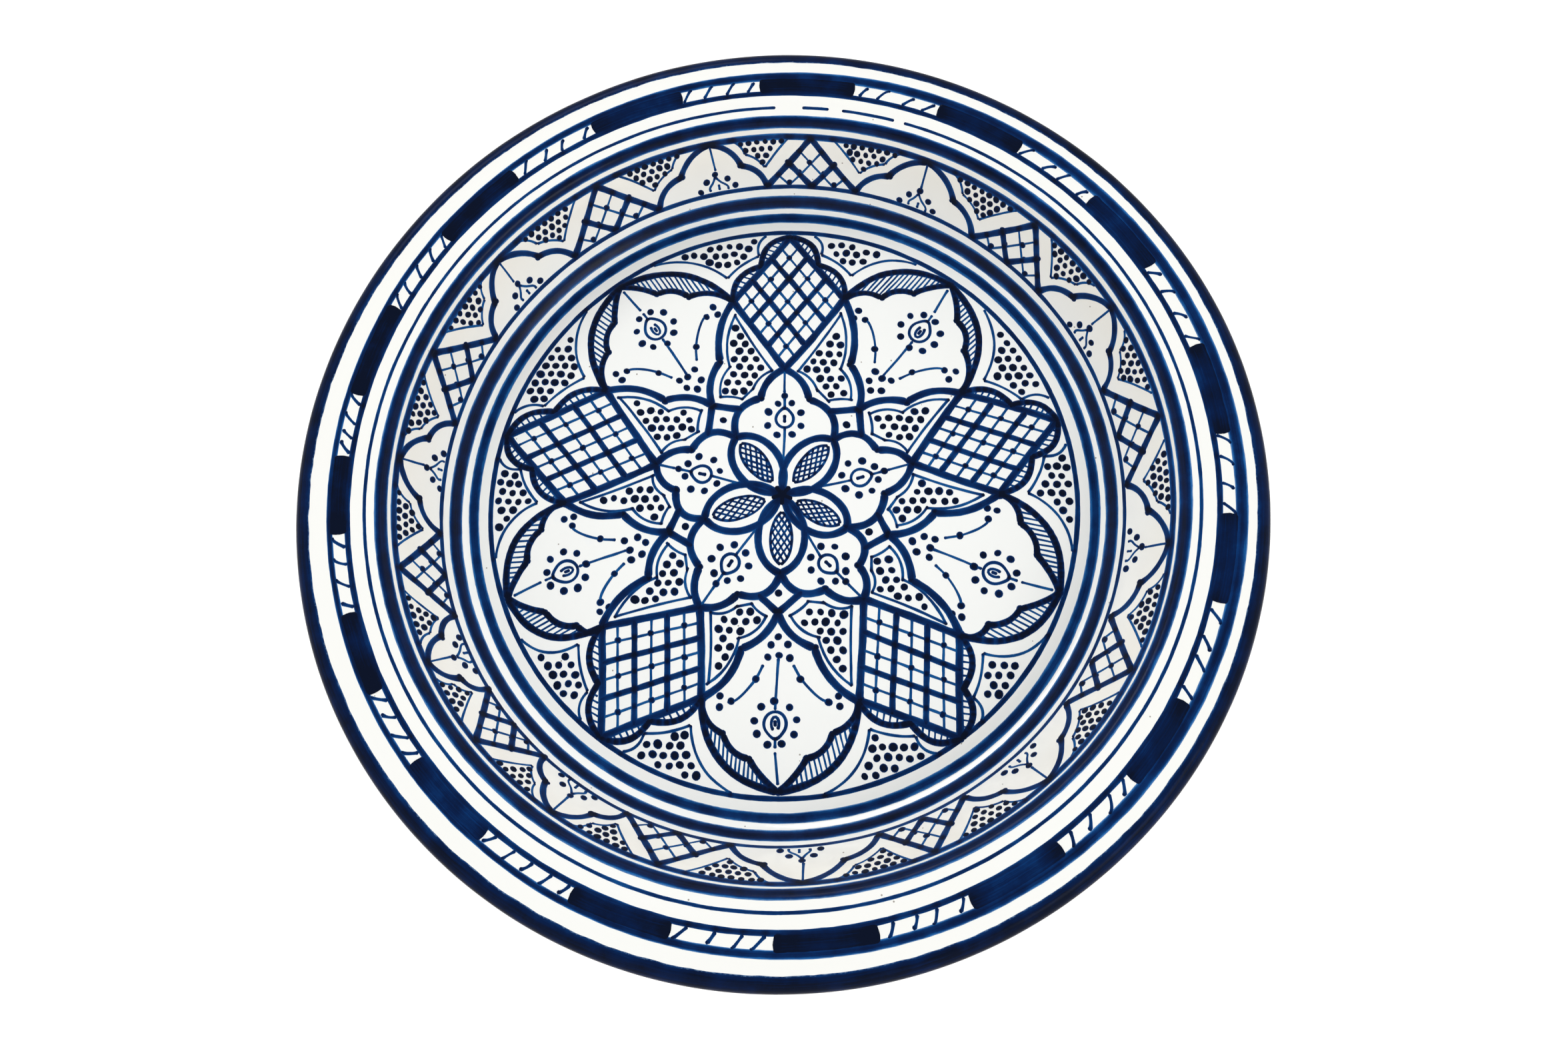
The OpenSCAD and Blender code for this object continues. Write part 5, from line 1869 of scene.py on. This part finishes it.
@dataclass
class Border:
    """The flange's dark band with its row of white windows."""
    inner_s: float = 210.2
    outer_s: float = 216.4
    windows: tuple[tuple[float, float], ...] = (
        (17.2, 30.3), (42.2, 55), (67.2, 80), (93, 104.7), (117.6, 131), (143.7, 156.3), (169, 178.2),
        (188.3, 199.5), (209.8, 220.5), (232.5, 245.8), (257.8, 270.5), (282.3, 294.2), (306, 318.3),
        (329.2, 343), (354, 365.3))
    five_ticks: tuple[int, ...] = (5, 9)
    rng: random.Random = field(default_factory=lambda: random.Random(3))

    def layers(self) -> list[Layer]:
        """The blocks and the ticks."""
        return [self.ticks(), self.blocks()]

    def ticks(self) -> Layer:
        """Slanted ticks in the windows.

        Returns:
            The layer.
        """
        layer = Layer("border_ticks", Paint.COBALT, relief=0.07, across=5, wobble=0.2, uneven=0.25, blob=0.5)
        for i, (start, end) in enumerate(self.windows):
            count = 5 if i in self.five_ticks else 4
            for j in range(count):
                a = mix(start, end, (j + 0.5 + self.rng.uniform(-0.14, 0.14)) / count)
                lean = 0.55 + self.rng.uniform(-0.2, 0.25)
                top = self.outer_s + 0.4 - self.rng.choice((0.0, 0.0, 1.1))
                layer.stroke(bow(polar(top, a - lean), polar(self.inner_s + 0.8, a + lean),
                                 self.rng.uniform(-0.6, 0.1), 8), 1.35, 0.55)
                layer.dot(polar(top - 0.3, a - lean), 0.85, 0.9)
        return layer

    def blocks(self) -> Layer:
        """Thick strokes between the windows.

        Returns:
            The layer.
        """
        layer = Layer("border_blocks", Paint.LIP, relief=0.14, across=11, wobble=0.3, uneven=0.07, blob=0.0,
                      ragged=0.16, tip=0.24)
        ends = self.windows[1:] + ((self.windows[0][0] + 360, 0.0),)
        for (_, start), (end, _) in zip(self.windows, ends):
            count = max(6, round((end - start) / 0.4))
            path = [polar(213.9, mix(start - 0.35, end + 0.35, i / count)) for i in range(count + 1)]
            layer.stroke(path, 8.4, self.rng.uniform(0.54, 0.84))
        return layer


@dataclass(frozen=True)
class Band:
    """One band laid on the turning wheel: its edges, and how the hand strayed with the angle."""
    name: str
    paint: Paint
    inner: float
    outer: float
    stray: tuple[float, float, float, float] = (0.0, 0.0, 0.0, 0.0)
    load: float = 0.62
    swell: tuple[float, float] = (0.0, 0.0)
    wash: float = 0.0
    breaks: tuple[tuple[float, float], ...] = ()
    across: int = 13

    def layer(self) -> Layer:
        """Draws the band as one closed stroke, or as arcs where the brush ran dry.

        Returns:
            The layer.
        """
        wide = self.outer - self.inner
        layer = Layer(self.name, self.paint, relief=min(0.12, 0.05 + wide * 0.015), across=self.across,
                      wobble=0.12,
                      uneven=0.04 if wide > 2.5 else 0.12, blob=0.0, ragged=0.09 if wide > 2.5 else 0.05)
        spans = [(b, a + 360 if a < b else a) for (_, b), (a, _) in
                 zip(self.breaks, self.breaks[1:] + self.breaks[:1])] or [(0.0, 360.0)]
        for start, end in spans:
            closed = not self.breaks
            count = max(4, round((end - start) * 1.5))
            angles = [start + (end - start) * i / count for i in range(count + (0 if closed else 1))]
            layer.stroke([polar(self._centre(a), a) for a in angles], wide, self.load, closed,
                         lambda t, s=start, e=end: self._width(s + (e - s) * t) / wide)
            if self.wash:
                layer.stroke([polar(self._centre(a) + self.wash, a) for a in angles], wide + abs(self.wash),
                             0.02,
                             closed)
        return layer

    def _centre(self, a: float) -> float:
        """The band's middle at an angle.

        Args:
            a: Angle in degrees.

        Returns:
            The middle, in millimetres along the face.
        """
        one, two = polar(1, a), polar(1, 2 * a)
        c1, s1, c2, s2 = self.stray
        middle = (self.inner + self.outer) / 2 + c1 * one.real + s1 * one.imag + c2 * two.real + s2 * two.imag
        return middle + (self._width(a) - (self.outer - self.inner)) / 2 * (1 if self.swell[0] else 0)

    def _width(self, a: float) -> float:
        """The band's width at an angle."""
        reach, towards = self.swell
        return (self.outer - self.inner) + reach * polar(1, a - towards).real


BANDS = (
    Band("medallion_line", Paint.COBALT, 137.1, 139.5, (0.08, 0.32, 0.06, 0.34), 0.64, across=7),
    Band("well_band", Paint.BAND, 144.0, 148.7, (0.15, 0.2, 0.0, 0.25), 0.62),
    Band("heel_band", Paint.DARK_BAND, 151.3, 158.0, (-0.19, -0.19, -0.06, 0.58), 0.66),
    Band("wall_base_line", Paint.COBALT, 161.2, 163.5, (-0.62, 0.08, -0.2, 0.74), 0.56, across=7),
    Band("wall_top_line", Paint.BAND, 187.5, 191.0, (0.3, -0.14, 0.41, 0.17), 0.64, across=9),
    Band("shoulder_band", Paint.DARK_BAND, 192.7, 198.8, (0.2, 0.47, 0.27, 0.43), 0.66),
    Band("flange_line", Paint.COBALT, 202.0, 203.5, (-0.12, 0.11, 0.01, 0.19), 0.56,
         breaks=((71.5, 73.0), (81.0, 83.0), (87.0, 91.0)), across=5),
    Band("border_inner_line", Paint.COBALT, 208.8, 211.3, (0.0, 0.0, 0.0, 0.0), 0.72, across=7),
    Band("border_outer_line", Paint.BAND, 216.2, 220.0, (0.0, 0.0, 0.0, 0.0), 0.72, swell=(1.35, 15.0)),
    Band("lip_band", Paint.LIP, 224.6, 238.2, (0.0, 0.0, 0.0, 0.0), 0.78, across=15),
)


@dataclass
class GlazeCoats:
    """The glaze as it lies on face, back and foot: closed coats turned on the wheel."""
    section: PlateSection
    segments: int = 448

    def coats(self) -> dict[str, list[Spot]]:
        """The section of each coat, by the name of the CAD node it stands for.

        Returns:
            The closed section of each coat.
        """
        p = self.section
        face = p.face
        inner = [s.moved(-p.glaze_t) for s in face[::8] + face[-1:]][::-1]
        inner[-1] = Spot(0.0, inner[-1].height, (0.0, 1.0))
        back = p.back()
        z, low = p.foot_h, p.foot_h - p.glaze_t - p.foot_glaze
        coat_out = p.foot_r + p.glaze_t
        outside, level = (1.0, 0.0), (0.0, -1.0)
        down = [Spot(coat_out + 0.9, z - p.glaze_t, level),
                Spot(coat_out + 0.25, z - 0.75, polar_pair(-45)),
                Spot(coat_out, z - 1.3, outside), Spot(coat_out, low + 0.3, outside),
                Spot(p.foot_r + p.glaze_t * 0.5, low, outside), Spot(p.foot_r, low + 0.1, outside),
                Spot(p.foot_r, z, outside)]
        under = [s.moved(-p.glaze_t) for s in back[::4] + back[-1:]][::-1]
        floor = [Spot(s.radius, z - p.glaze_t, level) for s in [Spot(p.heel_c.real - 0.1 - i * 2.0, 0, level)
                                                              for i in range(1, 10)]]
        floor = [s for s in floor if s.radius > p.foot_r + 1.6]
        foot_in = p.foot_r - p.foot_w
        coat_in = foot_in - p.glaze_t
        base = [Spot(0.0, z, (0.0, -1.0)), Spot(foot_in, z, level), Spot(foot_in, low + 0.1, (-1.0, 0.0)),
                Spot(foot_in - p.glaze_t * 0.5, low, (-1.0, 0.0)), Spot(coat_in, low + 0.3, (-1.0, 0.0)),
                Spot(coat_in, z - 1.3, (-1.0, 0.0)), Spot(coat_in - 0.25, z - 0.75, polar_pair(225)),
                Spot(coat_in - 0.9, z - p.glaze_t, level)]
        steps = 44
        base += [Spot((foot_in - 2.0) * (1 - i / steps), z - p.glaze_t, level) for i in range(1, steps + 1)]
        return {"face_glaze": face + inner, "back_glaze": back + floor + down + under + back[:1],
                "base_glaze": base}

    def build(self, wheel: Wheel, glaze: bpy.types.Material) -> list[bpy.types.Object]:
        """Turns each coat and puts it in place of its node.

        Args:
            wheel: The trees.
            glaze: The white glaze.

        Returns:
            The helper lines, to be removed at the end.
        """
        helpers = []
        for name, spots in self.coats().items():
            helpers.append(section_object(name + "_section", spots))
            coat = placed(name + "_coat", bpy.data.meshes.new(name + "_coat"))
            run_tree(coat, wheel.turned, {"Section": helpers[-1], "Segments": self.segments}, glaze)
            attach(coat, "root")
            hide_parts(name)
            LOG.info("%s: %d faces", coat.name, len(coat.data.polygons))
        return helpers


@dataclass
class ThrownClay:
    """The clay itself, which stays as the CAD made it and shows on the foot."""
    nodes: tuple[str, ...] = ("clay_body", "clay_flange", "foot_ring")

    def dress(self, clay: bpy.types.Material) -> None:
        """Gives the clay nodes their finish.

        Args:
            clay: The finish of bare clay.
        """
        for name in self.nodes:
            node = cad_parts[name]
            node.data.materials.clear()
            node.data.materials.append(clay)
            LOG.info("%s: clay", name)


@dataclass
class Studio:
    """White paper, soft lights and the camera above the plate."""
    tilt: float = 14.53
    roll: float = -8.44
    turn: float = 8.8
    lens: float = 24.635
    place: tuple[float, float, float] = (-1.306, -11.794, 506.58)
    well_z: float = 17.0
    side_light: float = 1.2
    top_light: float = 0.1

    def camera(self) -> None:
        """Sets the camera."""
        data = bpy.data.cameras.new("camera")
        data.lens = self.lens
        data.sensor_width = 36.0
        data.clip_start = 0.01
        made = placed("camera", data)
        t, r = math.radians(self.tilt), math.radians(self.roll)
        right = Vector((1, 0, 0))
        up = Vector((0, math.cos(t), math.sin(t)))
        ahead = Vector((0, math.sin(t), -math.cos(t)))
        x = math.cos(r) * right + math.sin(r) * up
        y = -math.sin(r) * right + math.cos(r) * up
        rows = Matrix((x, -y, ahead))
        centre = -(rows.transposed() @ Vector(self.place))
        spin = Matrix.Rotation(math.radians(self.turn), 3, "Z")
        axes = Matrix((spin @ x, spin @ y, spin @ -ahead)).transposed()
        centre = (spin @ centre + Vector((0, 0, self.well_z))) * MM
        made.matrix_world = Matrix.Translation(centre) @ axes.to_4x4()
        bpy.context.scene.camera = made

    def lamp(self, name: str, at: tuple[float, float, float], size: tuple[float, float],
             power: float) -> None:
        """One large soft light, aimed at the plate.

        Args:
            name: Its name.
            at: Where it hangs, in metres.
            size: Its width and height.
            power: Its power in watts.
        """
        data = bpy.data.lights.new(name, "AREA")
        data.shape = "RECTANGLE"
        data.size, data.size_y = size
        data.energy = power
        made = placed(name, data)
        aim = Vector((0, 0, 0.03)) - Vector(at)
        made.matrix_world = Matrix.Translation(at) @ aim.to_track_quat("-Z", "Y").to_matrix().to_4x4()

    def tent(self) -> bpy.types.World:
        """The light tent round the table: bright at its sides, with a dark opening above.

        Returns:
            The world.
        """
        world = bpy.data.worlds.new("light_tent")
        world.use_nodes = True
        s = NodeSheet(world.node_tree)
        back = next(n for n in world.node_tree.nodes if n.type == "BACKGROUND")
        height = s.split_xyz(s.node("ShaderNodeTexCoord").outputs["Generated"])[2]
        side = s.node("ShaderNodeMapRange", {0: height, 1: 0.7, 2: 0.93, 3: self.side_light,
                                             4: self.top_light},
                      interpolation_type="SMOOTHSTEP").outputs[0]
        back.inputs[0].default_value = (1.0, 1.0, 1.0, 1.0)
        s.tree.links.new(side, back.inputs[1])
        return world

    def build(self, paper: bpy.types.Material) -> None:
        """Lays the floor and sets lights and camera.

        Args:
            paper: Finish of the floor.
        """
        mesh = bpy.data.meshes.new("floor")
        mesh.from_pydata([(-3, -3, 0), (3, -3, 0), (3, 3, 0), (-3, 3, 0)], [], [(0, 1, 2, 3)])
        floor = placed("floor", mesh)
        mesh.materials.append(paper)
        self.lamp("window", (-0.7, 1.5, 1.35), (1.3, 0.5), 13.0)
        self.lamp("fill", (1.5, -1.1, 1.6), (1.2, 0.8), 13.0)
        bpy.context.scene.world = self.tent()
        bpy.context.scene.view_settings.view_transform = "Standard"
        self.camera()


def main() -> None:
    """Builds the plate from the clay outwards."""
    logging.basicConfig(level=logging.INFO, format="%(message)s")
    section = PlateSection()
    wheel = Wheel(section)
    glaze, clay = WhiteGlaze().build(), BareClay().build()
    colours = {Paint.COBALT: Cobalt().build(),
               Paint.DARK: Cobalt(name="dark_cobalt", shift=0.16, streaks=0.4, edge_fall=0.66,
                                  edge_power=3.0).build(),
               Paint.LIGHT: Cobalt(name="light_cobalt", shift=-0.04, streaks=0.4).build(),
               Paint.BAND: Cobalt(name="cobalt_band", edge_fall=0.8, edge_power=2.0, bristles=6.0, drag=16.0,
                                  thin=(30, 94, 158), bleed_from=0.8, streaks=0.55).build(),
               Paint.DARK_BAND: Cobalt(name="dark_cobalt_band", shift=0.22, edge_fall=0.88, edge_power=2.0,
                                       bristles=6.0, drag=16.0, thin=(30, 94, 158), bleed_from=0.8,
                                       streaks=0.55).build(),
               Paint.LIP: Cobalt(name="dark_cobalt_lip", shift=0.14, edge_fall=0.5, edge_power=6.0,
                                 bristles=9.0,
                                 drag=22.0, bleed_from=0.95, streaks=0.75, shine=0.02).build()}
    Studio().build(StudioFloor().build())
    ThrownClay().dress(clay)
    helpers = GlazeCoats(section).build(wheel, glaze) + [wheel.face_line]
    layers = ([band.layer() for band in BANDS] + Border().layers() + Frieze().layers() + Medallion().layers())
    Painter(wheel, colours).paint(layers)
    for helper in helpers:
        bpy.data.objects.remove(helper)


if __name__ == "__main__":
    main()
